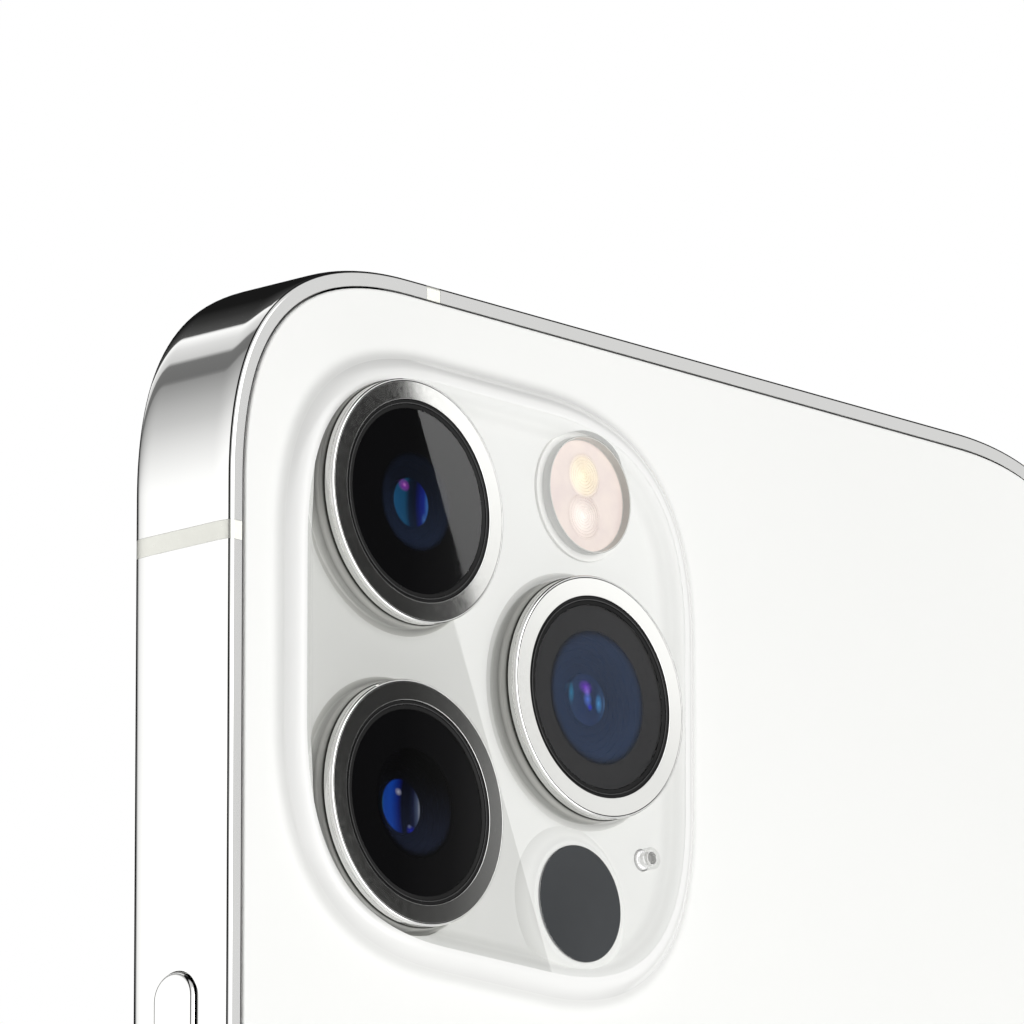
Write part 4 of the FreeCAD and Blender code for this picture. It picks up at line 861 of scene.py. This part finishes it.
def side_cutter(node, side, size=None):
    """A slot in a side of the band: around a button's cap, or of a given size at a node's height."""
    low, high = cad_box(node)
    y, z = (low.y + high.y) / 2, (low.z + high.z) / 2
    if size:
        y = 0.0
    else:
        size = (high.z - low.z + 2 * BUTTON_GAP, high.y - low.y + 2 * BUTTON_GAP, BUTTON_RECESS)
    length, width, depth = size
    outline = slot_outline(y, z, length, width)
    return prism(outline, "side", side * (HALF_WIDTH - depth), side * (HALF_WIDTH + 1))


def foot_cutters():
    """The port, the screws' seats and the sound holes in the foot of the band."""
    through = WALL_INSET + 0.5
    low, high = cad_box("charge_port_shell")
    port = [(across, up) for up, across in slot_outline(0.0, 0.0, high.x - low.x, high.y - low.y)]
    cutters = [prism(port, "end", -1.0, through)]
    screw = cad_box("bottom_screws")[1].x - SCREW_RADIUS
    rounds = [(side * screw, SCREW_RADIUS, SCREW_SINK) for side in (-1, 1)]
    for side, count in HOLE_COUNTS:
        rounds += [(side * (FIRST_HOLE + HOLE_PITCH * i), HOLE_RADIUS, through) for i in range(count)]
    for x, radius, depth in rounds:
        cutters.append(prism(circle_loop(x, 0.0, radius, 40), "end", -1.0, depth))
    return cutters


def make_band():
    """The six lengths of metal, with their openings, and the plastic splits between them."""
    section = whole_section()
    cuts = band_cuts()
    openings = {
        "right_rail": [side_cutter("side_button", 1)],
        "left_rail": [side_cutter("volume_up_button", -1), side_cutter("volume_down_button", -1),
                      side_cutter("ring_switch", -1, SWITCH_SLOT), side_cutter("sim_tray", -1, DOOR_SLOT)],
        "bottom_rail": foot_cutters(),
    }
    for name in cuts:
        bm = bmesh.new()
        swept(bm, stretch(*cuts[name]), section)
        if name in openings:
            bm = cut_piece(bm, openings[name])
        finish_piece(f"{name}_metal", bm, "polished_steel", name)
    splits = bmesh.new()
    sunk = [(inset + SPLIT_SINK, level * 0.999) for inset, level in section]
    places = list(cuts.values())
    for first, second in zip(places, places[1:] + places[:1]):
        swept(splits, stretch(first[1] + SPLIT_GAP, second[0] - SPLIT_GAP), sunk)
    finish_piece("antenna_split_fills", splits, "split_plastic", "antenna_splits")


# The rear glass with its plateau.

PLATEAU_X, PLATEAU_Z = 16.215, 125.54
PLATEAU_HALF_WIDTH, PLATEAU_HALF_HEIGHT = 16.035, 16.67
PLATEAU_RADIUS = 10.2
BLEND_START, BLEND_END = -0.8, 1.15
BLEND_STEPS = 20
MATTE_STEPS = 10
GLASS_ROUNDING = 0.12
ROUNDING_STEPS = 6
HOLE_CHAMFER = 0.012
INK_DEPTH = 0.79
INK_FLOOR = PLATEAU_FACE - INK_DEPTH
INK_RUN = 1.5
INK_STEPS = 14
INK_GAP = 0.015
INK_OVERLAP = 0.05


def blend_level(share, low, high):
    """An S-shaped rise from one level to another."""
    share = max(0.0, min(1.0, share))
    return low + (high - low) * share * share * share * (share * (share * 6 - 15) + 10)


def hole_places():
    """Centre and radius of every hole of the plateau."""
    holes = [(TRIMS[name].x, TRIMS[name].z, RING_RADIUS) for name in LENS_NAMES]
    return holes + [(place.x, place.z, place.radius) for place in (FLASH, SCANNER, MICROPHONE)]


def hole_tool(x, z, radius, chamfer, material):
    """A cutter for one hole of the plateau, wider at its mouth."""
    bm = bmesh.new()
    mouth = radius + chamfer
    profile = [(0.0, GLASS_UNDER - 1), (radius, GLASS_UNDER - 1), (radius, PLATEAU_FACE - chamfer),
               (mouth, PLATEAU_FACE), (mouth, PLATEAU_FACE + 1), (0.0, PLATEAU_FACE + 1)]
    turned(bm, x, z, profile, material=material, closed=False)
    return bm


def plateau_outline():
    """The line that the insets of the plateau's slope are measured from."""
    return eased_box(PLATEAU_X, PLATEAU_Z, PLATEAU_HALF_WIDTH, PLATEAU_HALF_HEIGHT, PLATEAU_RADIUS)


def make_seals():
    """The black seals in the gaps between the band and the two sheets of glass."""
    start, end = RIM_INSET + 0.005, GLASS_INSET + GLASS_GAP - 0.005
    for name, sign in (("rear_edge_seal", 1), ("front_edge_seal", -1)):
        low, high = sign * LEDGE, sign * (BAND_FACE - 0.1)
        bm = bmesh.new()
        first = layered(bm, OUTLINE, [(start, low)])
        last = layered(bm, OUTLINE, [(start, high), (end, high), (end, low)], previous=first)
        bridge(bm, last, first)
        finish_piece(name, bm, "mask_black")


def make_rear_glass():
    """The sheet of glass with its matte back, its sloping plateau and the plateau's holes."""
    plateau = plateau_outline()
    bm = bmesh.new()
    edge = GLASS_INSET + GLASS_GAP
    under = layered(bm, OUTLINE, [(edge, GLASS_UNDER)])
    bm.faces.new(under)
    rounding = []
    for i in range(ROUNDING_STEPS + 1):
        turn = math.pi / 2 * i / ROUNDING_STEPS
        rounding.append((edge + GLASS_ROUNDING * (1 - math.cos(turn)),
                         GLASS_FACE - GLASS_ROUNDING * (1 - math.sin(turn))))
    rounding.append((edge + GLASS_ROUNDING + 0.05, GLASS_FACE))
    flat_edge = layered(bm, OUTLINE, rounding, previous=under)
    foot = layered(bm, plateau, [(BLEND_START - 0.05, GLASS_FACE)])
    fill_between(bm, [flat_edge, foot])
    slope = []
    for i in range(BLEND_STEPS + 1):
        share = i / BLEND_STEPS
        inset = BLEND_START + (BLEND_END - BLEND_START) * share
        slope.append((inset, blend_level(share, GLASS_FACE, PLATEAU_FACE)))
    slope.append((BLEND_END + 2 * INK_OVERLAP, PLATEAU_FACE))
    matte = layered(bm, plateau, slope[:MATTE_STEPS], previous=foot)
    top_edge = layered(bm, plateau, slope[MATTE_STEPS:], 1, matte)
    bm.faces.new(top_edge).material_index = 2
    finishes = "frosted_glass plateau_gloss plateau_clear"
    tools = [hole_tool(x, z, radius, HOLE_CHAMFER, 2) for x, z, radius in hole_places()]
    finish_piece("rear_glass_sheet", cut_piece(bm, tools, finishes), finishes, "rear_glass")
    make_plateau_ink(plateau)


def make_plateau_ink(plateau):
    """The white print seen through the plateau: a shallow dish with a hole of its own under every hole of the
    plateau.
    """
    bm = bmesh.new()
    rim = BLEND_END + INK_OVERLAP
    skirt = layered(bm, plateau, [(rim, GLASS_UNDER + 0.1)])
    bm.faces.new(skirt)
    dish = []
    for i in range(INK_STEPS + 1):
        share = i / INK_STEPS
        dish.append((rim + INK_RUN * share, blend_level(share, PLATEAU_FACE - INK_GAP, INK_FLOOR)))
    dish.append((rim + INK_RUN + 0.03, INK_FLOOR))
    bm.faces.new(layered(bm, plateau, dish, previous=skirt))
    growths = [COLLAR_FOOT - 0.05] * len(LENS_NAMES) + [WELL_FOOT - 0.05, -SCANNER_LIP, INK_GAP]
    tools = []
    for (x, z, radius), growth in zip(hole_places(), growths):
        tools.append(hole_tool(x, z, radius + growth, 0.0, 0))
    bm = cut_piece(bm, tools, "plateau_ink")
    finish_piece("plateau_print", bm, "plateau_ink", "rear_film")


# Cameras.

COLLAR_RISE = 0.35
COLLAR_FOOT = 0.4
WELL_DEPTH = 0.57
WELL_FOOT = 0.36


def lens_shade_collar(name, place):
    """A collar painted with shade around a camera ring: it stands out of the hole and widens under the clear
    glass.
    """
    radius = RING_RADIUS - 0.005
    top = PLATEAU_FACE + COLLAR_RISE
    profile = rounded([
        (radius - 0.05, top), (radius - 0.05, INK_FLOOR - 0.1), (radius + COLLAR_FOOT, INK_FLOOR - 0.1),
        (radius + COLLAR_FOOT, INK_FLOOR + 0.01), (radius, PLATEAU_FACE - 0.03, 0.1), (radius, top, 0.01),
    ], 4)
    turned_piece(name, place, profile, "painted_collar_shade")


def flash_well(radius):
    """The stepped white wall around the flash as it shows through the clear glass, with painted shade down it.
    """
    foot = radius + WELL_FOOT
    step = PLATEAU_FACE - WELL_DEPTH
    profile = rounded([
        (radius - 0.02, PLATEAU_FACE - 0.02), (radius - 0.02, INK_FLOOR - 0.1), (foot, INK_FLOOR - 0.1),
        (foot, step - 0.05, 0.05), (radius, step, 0.03), (radius, PLATEAU_FACE - 0.02),
    ], 4)
    turned_piece("flash_well", FLASH, profile, "painted_well_shade")


LIP_WIDTH = 0.1
SEAM_WIDTH = 0.04
FACE_INNER = 5.52


def make_trim(name):
    """A turned ring: a flange under the glass, a wall of two bands, a bright lip, a seam and a flat face."""
    trim = TRIMS[name]
    face = trim.face
    outer = RING_RADIUS - 0.03
    edge = outer - LIP_WIDTH
    flat = edge - SEAM_WIDTH
    glass = PLATEAU_FACE
    cover_back = COVERS[name].back
    profile = rounded([
        (4.9, trim.back), (trim.radius, trim.back), (trim.radius, GLASS_UNDER), (outer - 0.04, GLASS_UNDER),
        (outer - 0.06, glass + 0.38), (outer, glass + 0.4, 0.01), (outer, glass + 0.67, 0.03),
        (outer - 0.06, glass + 0.7), (outer - 0.06, glass + 0.74), (outer + 0.02, glass + 0.76, 0.02),
        (outer + 0.02, face - 0.08, 0.03), (outer - 0.03, face - 0.02, 0.02), (edge, face, 0.02),
        (edge, face - 0.2), (flat, face - 0.2), (flat, face, 0.01), (FACE_INNER, face, 0.02),
        (FACE_INNER - 0.02, face - 0.1), (FACE_INNER - 0.02, cover_back), (4.9, cover_back),
    ])

    def ring_finish(item):
        level = item.calc_center_median().y
        if min(vert.co.y for vert in item.verts) > face - 0.002 and level > face - 0.001:
            return 1
        # The lower band of the wall takes a darker copy of the steel, as painted shade.
        return 2 if glass + 0.36 < level < glass + 0.7 else 0

    turned_piece(f"{name}_trim", trim, profile, "polished_steel ring_face ring_wall",
                 f"{name}_trim_ring", steps=192, pick=ring_finish)
    low, high = face - 0.19, face - 0.025
    start, end = flat + 0.004, edge - 0.004
    turned_piece(f"{name}_seam", trim, [(start, low), (end, low), (end, high), (start, high)], "mask_black",
                 steps=192)
    level = face - 0.03
    bezel = rounded([
        (5.49, level - 0.06), (5.49, face - 0.25), (5.02, face - 0.25), (5.02, face - 0.1),
        (5.05, face - 0.08, 0.01), (5.24, face - 0.06, 0.01), (5.26, face - 0.12), (5.27, level, 0.01),
        (5.33, level, 0.01), (5.36, level - 0.06),
    ], 3)
    turned_piece(f"{name}_seal", trim, bezel, "seal_black seal_line", steps=192,
                 pick=lambda item: int(item.calc_center_median().y > level - 0.02))
    lens_shade_collar(f"{name}_collar", trim)


def make_cover(name):
    """The flat cover lens, the black mask under it, and the painted sheen of the dome below."""
    cover = COVERS[name]
    radius = cover.radius - 0.02
    under = cover.face - 0.07
    top = under - 0.06
    glass = [(0.0, under), (radius, under), (radius, cover.face - 0.01, 0.02), (0.0, cover.face - 0.01)]
    turned_piece(f"{name}_cover", cover, rounded(glass), f"{name}_cover", f"{name}_cover_lens")
    opening = MASK_OPENING[name]
    mask = [(5.42, top - 0.04), (5.42, top), (opening, top), (opening - 0.05, top - 0.04)]
    finish = "mask_grey" if name == "ultra_wide" else "mask_black"
    turned_piece(f"{name}_mask", cover, mask, finish)
    glow = GLOW_RADIUS[name]
    sheen = [(0.0, top + 0.012), (glow, top + 0.012), (glow, top + 0.008), (0.0, top + 0.008)]
    turned_piece(f"{name}_dome_sheen", cover, sheen, f"{name}_glow", steps=128)


MASK_OPENING = {"tele": 2.7, "wide": 3.0, "ultra_wide": 3.7}
GLOW_RADIUS = {"tele": 2.75, "wide": 2.9, "ultra_wide": 3.75}
NOSE_RADIUS = {"tele": 1.38, "wide": 1.5, "ultra_wide": 1.46}
NOSE_RISE = {"tele": 0.3, "wide": 0.35, "ultra_wide": 0.35}
NOSE_BULGE = 0.12
NOSE_STEPS = 16
BAFFLE_STEPS = 5


def make_barrel(name):
    """A lens barrel with a stepped black baffle around its opening, and the coated dome in it, with painted
    reflections.
    """
    barrel = BARRELS[name]
    dome = ELEMENTS[name]
    face = barrel.face
    profile = [(3.15, barrel.back), (barrel.radius, barrel.back), (barrel.radius, face - 0.02),
               (barrel.radius - 0.05, face)]
    for i in range(BAFFLE_STEPS):
        radius = 3.6 - 0.4 * i
        profile += [(radius, face - 0.01 * i), (radius - 0.05, face - 0.01 * i - 0.05)]
    nose = NOSE_RADIUS[name]
    throat = nose + 0.04
    profile += [(throat, face - 0.06), (throat, face - 0.5), (3.15, face - 0.5)]
    turned_piece(f"{name}_barrel", barrel, profile, "baffle_black", f"{name}_lens_barrel",
                 LENS_BODIES[name], 128)
    apex = dome.face + NOSE_RISE[name]
    back, shoulder = dome.face - 1.5, dome.face - 0.5
    profile = [(0.0, back), (3.1, back), (3.1, shoulder), (nose, shoulder)]
    for i in range(NOSE_STEPS + 1):
        share = 1 - i / NOSE_STEPS
        profile.append((nose * share, apex - NOSE_BULGE * share ** 2))
    turned_piece(f"{name}_dome", barrel, profile, f"{name}_pupil", f"{name}_front_element",
                 LENS_BODIES[name], 96)


# Flash, depth scanner and microphone.

SCANNER_LIP = 1.0
SCANNER_FOOT = 1.15
FLASH_LIP = 0.05
FLASH_SINK = 0.44
MICROPHONE_SINK = 0.3


def make_flash():
    """A clear collar, the ribbed lens in it, and the white wall around them with painted shade."""
    radius = FLASH.radius - 0.02
    face = FLASH.face - 0.005
    inner = radius - FLASH_LIP
    floor = face - FLASH_SINK
    profile = rounded([
        (radius, FLASH.back), (radius, face, 0.02), (inner, face, 0.02), (inner - 0.06, floor + 0.02),
        (inner - 0.09, floor + 0.02, 0.01), (inner - 0.09, FLASH.back),
    ])
    turned_piece("flash_collar", FLASH, profile, "flash_collar")
    make_flash_lens(inner - 0.095, floor)
    flash_well(FLASH.radius - 0.002)


def make_scanner():
    """The round dark window, and the print that slopes away under its rim."""
    reach = SCANNER.radius
    neck = reach - SCANNER_LIP - 0.05
    top = SCANNER.face - 0.005
    window = rounded([
        (0.0, SCANNER.back), (neck, SCANNER.back), (neck, top - 0.12), (reach, top - 0.1), (reach, top, 0.04),
        (0.0, top),
    ])
    turned_piece("scanner_window", SCANNER, window, "dark_window", "lidar_window")
    foot = reach + SCANNER_FOOT
    mound = rounded([
        (neck + 0.01, top - 0.13), (neck + 0.01, INK_FLOOR - 0.05), (foot, INK_FLOOR - 0.05),
        (foot, INK_FLOOR + 0.005), (reach + 0.25, top - 0.14, 0.3), (reach - 0.1, top - 0.13),
    ])
    turned_piece("scanner_print", SCANNER, mound, "plateau_ink")


def make_microphone():
    """A mesh at the foot of a short shaft, in a tube that shows through the clear glass, on a flange."""
    face = PLATEAU_FACE
    level = face - MICROPHONE_SINK
    tube = rounded([
        (0.38, face - 0.02, 0.015), (0.38, face - 0.25, 0.02), (0.33, face - 0.29, 0.02),
        (0.38, face - 0.33, 0.02), (0.38, face - 0.46, 0.02), (0.34, face - 0.5, 0.02),
        (0.36, INK_FLOOR + 0.16, 0.02), (0.52, INK_FLOOR + 0.12, 0.04), (0.56, INK_FLOOR - 0.1),
        (0.3, INK_FLOOR - 0.1), (0.3, MICROPHONE.back), (0.2, MICROPHONE.back), (0.2, level - 0.05),
        (0.345, level - 0.05), (0.345, face - 0.02, 0.01),
    ], 3)
    turned_piece("microphone_tube", MICROPHONE, tube, "tube_silver", "rear_microphone",
                 steps=64)
    mesh = [(0.0, level - 0.04), (0.34, level - 0.04), (0.34, level - 0.02), (0.0, level)]
    turned_piece("microphone_mesh", MICROPHONE, mesh, "mesh_grey", steps=48)


LED_OFFSET = 1.12
FRESNEL_PITCH = 0.17
FRESNEL_DEPTH = 0.045
FRESNEL_REACH = 1.28
LENS_RINGS = 110
LENS_STEPS = 160


def fresnel_level(x, z):
    """Relief of the two ring patterns of the flash lens, around the upper and the lower light."""
    away = min(math.hypot(x, z - LED_OFFSET), math.hypot(x, z + LED_OFFSET))
    if away > FRESNEL_REACH:
        return 0.0
    return -FRESNEL_DEPTH * (away / FRESNEL_PITCH % 1.0)


def make_flash_lens(radius, face):
    """A disc with fine rings in relief around each of its two lights."""
    bm = bmesh.new()
    loops = []
    for i in range(1, LENS_RINGS + 1):
        places = circle_loop(0.0, 0.0, radius * i / LENS_RINGS, LENS_STEPS)
        points = [(FLASH.x + x, face + fresnel_level(x, z), FLASH.z + z) for x, z in places]
        loops.append([bm.verts.new(point) for point in points])
    for first, second in zip(loops, loops[1:]):
        bridge(bm, first, second)
    centre = bm.verts.new((FLASH.x, face, FLASH.z))
    for first, second in zip(loops[0], loops[0][1:] + loops[0][:1]):
        bm.faces.new((centre, first, second))
    low = [bm.verts.new((vert.co.x, FLASH.back, vert.co.z)) for vert in loops[-1]]
    bridge(bm, loops[-1], low)
    bm.faces.new(list(reversed(low)))
    finish_piece("flash_lens_disc", bm, "flash_lens", "flash_lens")


# Finishes of the carried-over nodes, and of the pieces.


def flash_finish():
    """A milky lens over a warm and a cool light source."""
    nodes, shader = new_material("flash_lens")
    warm = nodes.ramp(radial(nodes, FLASH.x, FLASH.z + LED_OFFSET, 1.3),
                      [(0.0, 1.0), (0.7, 0.7), (1.0, 0.0)], smooth=True)
    cool = nodes.ramp(radial(nodes, FLASH.x, FLASH.z - LED_OFFSET, 1.2),
                      [(0.0, 1.0), (0.4, 0.6), (1.0, 0.0)], smooth=True)
    cloud = nodes.noise(0.6, 3.0)
    base = nodes.ramp(cloud, [(0.35, rgb(225, 211, 206)), (0.65, rgb(234, 221, 213))])
    base = nodes.mix(warm, base, rgb(252, 239, 212))
    base = nodes.mix(cool, base, rgb(255, 245, 238))
    nodes.fill(shader, Base_Color=base, Roughness=nodes.tone(cloud, 0.12, 0.2), IOR=1.45)


def grille(name, colour, pitch, metallic, gap=0.004):
    """A fine woven mesh, with gaps of a grey between its threads."""
    nodes, shader = new_material(name)
    waves = [nodes.add("ShaderNodeTexWave", {"bands_direction": direction}, Vector=nodes.place(),
                       Scale=0.5 / (pitch * MM)).outputs["Fac"] for direction in ("X", "Z")]
    weave = nodes.math("MAXIMUM", *waves)
    nodes.fill(shader, Base_Color=nodes.ramp(weave, [(0.55, gap), (0.8, colour)]), Metallic=metallic,
               Roughness=nodes.remap(weave, 0, 1, 0.7, 0.35), Normal=nodes.bump(weave, 0.02))


def board_green():
    """Dark solder mask with copper pads."""
    nodes, shader = new_material("board_green")
    cells = nodes.add("ShaderNodeTexVoronoi", {"distance": "CHEBYCHEV"}, Vector=nodes.place(), Scale=900)
    pads = nodes.ramp(cells.outputs["Distance"], [(0.12, 1.0), (0.16, 0.0)])
    nodes.fill(shader, Base_Color=nodes.mix(pads, (0.012, 0.05, 0.03, 1), (0.65, 0.5, 0.25, 1)),
               Roughness=nodes.tone(nodes.noise(2.0), 0.3, 0.45), Metallic=pads)


# Painted reflections on each pupil: colour bands from the +X side to the -X side, and the painted flares:
# place, width, height and colour.
PAINTED_PUPIL_REFLECTIONS = {
    "tele": ([(0.0, (0.05, 0.25, 0.5)), (0.06, (0.012, 0.16, 0.38)), (0.27, (0.008, 0.14, 0.3)),
              (0.4, (0.0, 0.01, 0.03)), (0.56, (0.0, 0.0, 0.006)), (0.68, (0.002, 0.004, 0.2)),
              (0.84, (0.01, 0.03, 0.45)), (0.93, (0.06, 0.22, 0.75)), (1.0, (0.1, 0.3, 0.7))],
             [(0.42, 0.62, 0.34, 0.3, (0.75, 0.03, 1.0)), (0.4, 0.64, 0.12, 0.1, (1.0, 0.4, 1.0)),
              (-0.72, -0.55, 0.2, 0.3, (0.1, 0.3, 0.8))]),
    "wide": ([(0.0, (0.05, 0.35, 0.6)), (0.05, (0.01, 0.12, 0.8)), (0.2, (0.006, 0.12, 0.85)),
              (0.38, (0.002, 0.02, 0.3)), (0.47, (0.0, 0.001, 0.01)), (0.66, (0.0, 0.001, 0.01)),
              (0.78, (0.01, 0.015, 0.06)), (0.9, (0.12, 0.16, 0.28)), (0.96, (0.4, 0.45, 0.55)),
              (1.0, (0.1, 0.12, 0.2))],
             [(0.2, 0.48, 0.2, 0.17, (0.85, 0.85, 1.0)), (-0.5, -0.8, 0.3, 0.2, (0.02, 0.03, 0.85)),
              (-0.4, -0.68, 0.15, 0.1, (0.3, 0.35, 0.6))]),
    "ultra_wide": ([(0.0, (0.05, 0.12, 0.2)), (0.05, (0.01, 0.03, 0.07)), (0.3, (0.01, 0.02, 0.07)),
                    (0.7, (0.008, 0.015, 0.05)), (0.94, (0.02, 0.06, 0.14)), (1.0, (0.2, 0.35, 0.6))],
                   [(0.85, 0.14, 0.16, 0.5, (0.02, 0.3, 0.5)), (0.12, 0.45, 0.42, 0.32, (0.25, 0.02, 0.8)),
                    (-0.6, -0.05, 0.24, 0.42, (0.08, 0.4, 0.85)), (0.06, 0.3, 0.2, 0.24, (0.4, 0.2, 1.0)),
                    (0.03, 0.0, 0.26, 0.34, (0.12, 0.25, 1.0)),
                    (-0.1, -0.27, 0.16, 0.16, (0.03, 0.03, 0.9))]),
}
# The painted sheen's colour and strength, and how much of it is left at its top.
GLOWS = {"tele": ((0.016, 0.026, 0.056), 0.3, 0.35), "wide": ((0.013, 0.018, 0.038), 0.3, 0.0),
         "ultra_wide": ((0.03, 0.062, 0.145), 0.24, 0.9)}


def make_finishes():
    """Makes every finish: those of the CAD nodes, and those of the pieces alone."""
    polished_steel()
    surface("split_plastic", rgb(236, 236, 228), 0.75, 0.3, 0.03, 3.0, bump=0.001)
    frosted_glass()
    plateau_ink()
    plateau_gloss()
    clear_coat("plateau_clear", 2.05)
    surface("mask_black", (0.0016, 0.0016, 0.002), roughness=0.5, Specular_IOR_Level=0.0)
    surface("mask_grey", (0.02, 0.02, 0.021), roughness=0.5, Specular_IOR_Level=0.0)
    surface("seal_black", (0.003, 0.003, 0.003), roughness=0.25, spread=0.04, Specular_IOR_Level=0.12)
    surface("baffle_black", (0.002, 0.002, 0.003), roughness=0.45, Specular_IOR_Level=0.0)
    surface("seal_line", (0.012, 0.012, 0.012), roughness=0.25, spread=0.04)
    # A darker copy of the polished steel, for painted shade on the lower band of the rings' wall.
    surface("ring_wall", (0.62, 0.62, 0.605), 1.0, 0.08, 0.02, 3.0, tone=0.03)
    surface("ring_face", (0.5, 0.5, 0.485), 1.0, 0.05, 0.012, 3.0, tone=0.02)
    painted_depth_shade("painted_collar_shade", PLATEAU_FACE + COLLAR_RISE, COLLAR_PAINTED_SHADES)
    painted_depth_shade("painted_well_shade", PLATEAU_FACE, WELL_PAINTED_SHADES)
    surface("tube_silver", (0.8, 0.8, 0.79), 0.5, 0.25, 0.05, 8.0)
    surface("flash_collar", rgb(206, 206, 202), roughness=0.12, spread=0.03, IOR=1.45)
    flash_finish()
    surface("dark_window", rgb(60, 62, 64), roughness=0.12, spread=0.03, tone=0.1, Specular_IOR_Level=0.1)
    grille("mesh_grey", (0.62, 0.62, 0.6), 0.05, 0.2, 0.3)
    surface("screen_glass", (0.004, 0.004, 0.005), roughness=0.03, spread=0.01, IOR=1.5)
    surface("white_film", (0.85, 0.86, 0.84), roughness=0.5, grain=4.0, bump=0.002)
    surface("black_rubber", (0.012, 0.012, 0.012), roughness=0.6, bump=0.004)
    surface("display_black", (0.005, 0.005, 0.006), roughness=0.1)
    surface("plate_aluminium", (0.6, 0.6, 0.62), 1.0, 0.35, 0.08, 5.0, bump=0.003)
    surface("battery_foil", (0.03, 0.03, 0.033), 0.2, 0.45, 0.1, 1.2, bump=0.02)
    board_green()
    surface("can_steel", (0.62, 0.62, 0.6), 1.0, 0.28, 0.08, 2.5, bump=0.003)
    surface("tungsten_grey", (0.3, 0.3, 0.31), 1.0, 0.5, 0.08, 6.0, bump=0.006)
    surface("copper", (0.72, 0.4, 0.26), 1.0, 0.3, 0.08, 4.0, bump=0.005)
    surface("magnet_grey", (0.45, 0.45, 0.46), 1.0, 0.3, 0.08, 3.0, bump=0.003)
    surface("black_plastic", (0.02, 0.02, 0.022), roughness=0.45, grain=4.0, bump=0.004)
    grille("grey_membrane", (0.2, 0.2, 0.2), 0.12, 0.3)
    clear_coat("clear_glass", 1.5)
    surface("coated_glass", (0.01, 0.015, 0.04), roughness=0.05, spread=0.01)
    surface("sensor_dark", (0.02, 0.02, 0.03), roughness=0.15)
    surface("led_yellow", (0.95, 0.82, 0.45), roughness=0.3)
    surface("card_white", (0.85, 0.85, 0.85), roughness=0.3, bump=0.001)
    clear_coat("tele_cover", 1.52)
    clear_coat("wide_cover", 1.52)
    clear_coat("ultra_wide_cover", 1.2)
    for name, (bands, spots) in PAINTED_PUPIL_REFLECTIONS.items():
        paint_pupil_reflections(f"{name}_pupil", BARRELS[name], NOSE_RADIUS[name], bands, spots)
    for name, (colour, strength, top) in GLOWS.items():
        lens_glow(f"{name}_glow", COVERS[name], GLOW_RADIUS[name], colour, strength, top)


def finish_nodes():
    """Gives every CAD node the finish that the record names for it."""
    for part in frame["record"]["subparts"]:
        node = frame["nodes"][part["node"]]
        node.data.materials.clear()
        node.data.materials.append(FINISHES[part["material_slot"]])


FLOOR_RADIUS = 330.0
FLOOR_DROP = BAND_PROUD + 0.05


def make_floor():
    """A pale disc under the phone that fades out before its edge."""
    bm = bmesh.new()
    rim = [(x * MM, y * MM, -FLOOR_DROP * MM) for x, y in circle_loop(0, 0, FLOOR_RADIUS, 96)]
    bm.faces.new([bm.verts.new(point) for point in rim])
    nodes, shader = new_material("floor_white")
    away = nodes.vector("LENGTH", nodes.place(), out="Value")
    fade = nodes.remap(away, 0.35 * FLOOR_RADIUS * MM, 0.95 * FLOOR_RADIUS * MM, 1.0, 0.0)
    nodes.fill(shader, Base_Color=nodes.cloudy(nodes.noise(0.02), 0.93, 0.95), Roughness=0.7, Alpha=fade,
               Emission_Color=(1.0, 1.0, 1.0, 1.0), Emission_Strength=0.45)
    mesh_object("floor", bm, [FINISHES["floor_white"]])


make_camera()
studio_world()
make_boards()
make_lights()
make_floor()
make_finishes()
finish_nodes()
make_band()
make_seals()
make_rear_glass()
for lens_name in LENS_NAMES:
    make_trim(lens_name)
    make_cover(lens_name)
    make_barrel(lens_name)
make_flash()
make_scanner()
make_microphone()
bpy.context.scene.view_settings.view_transform = "Standard"
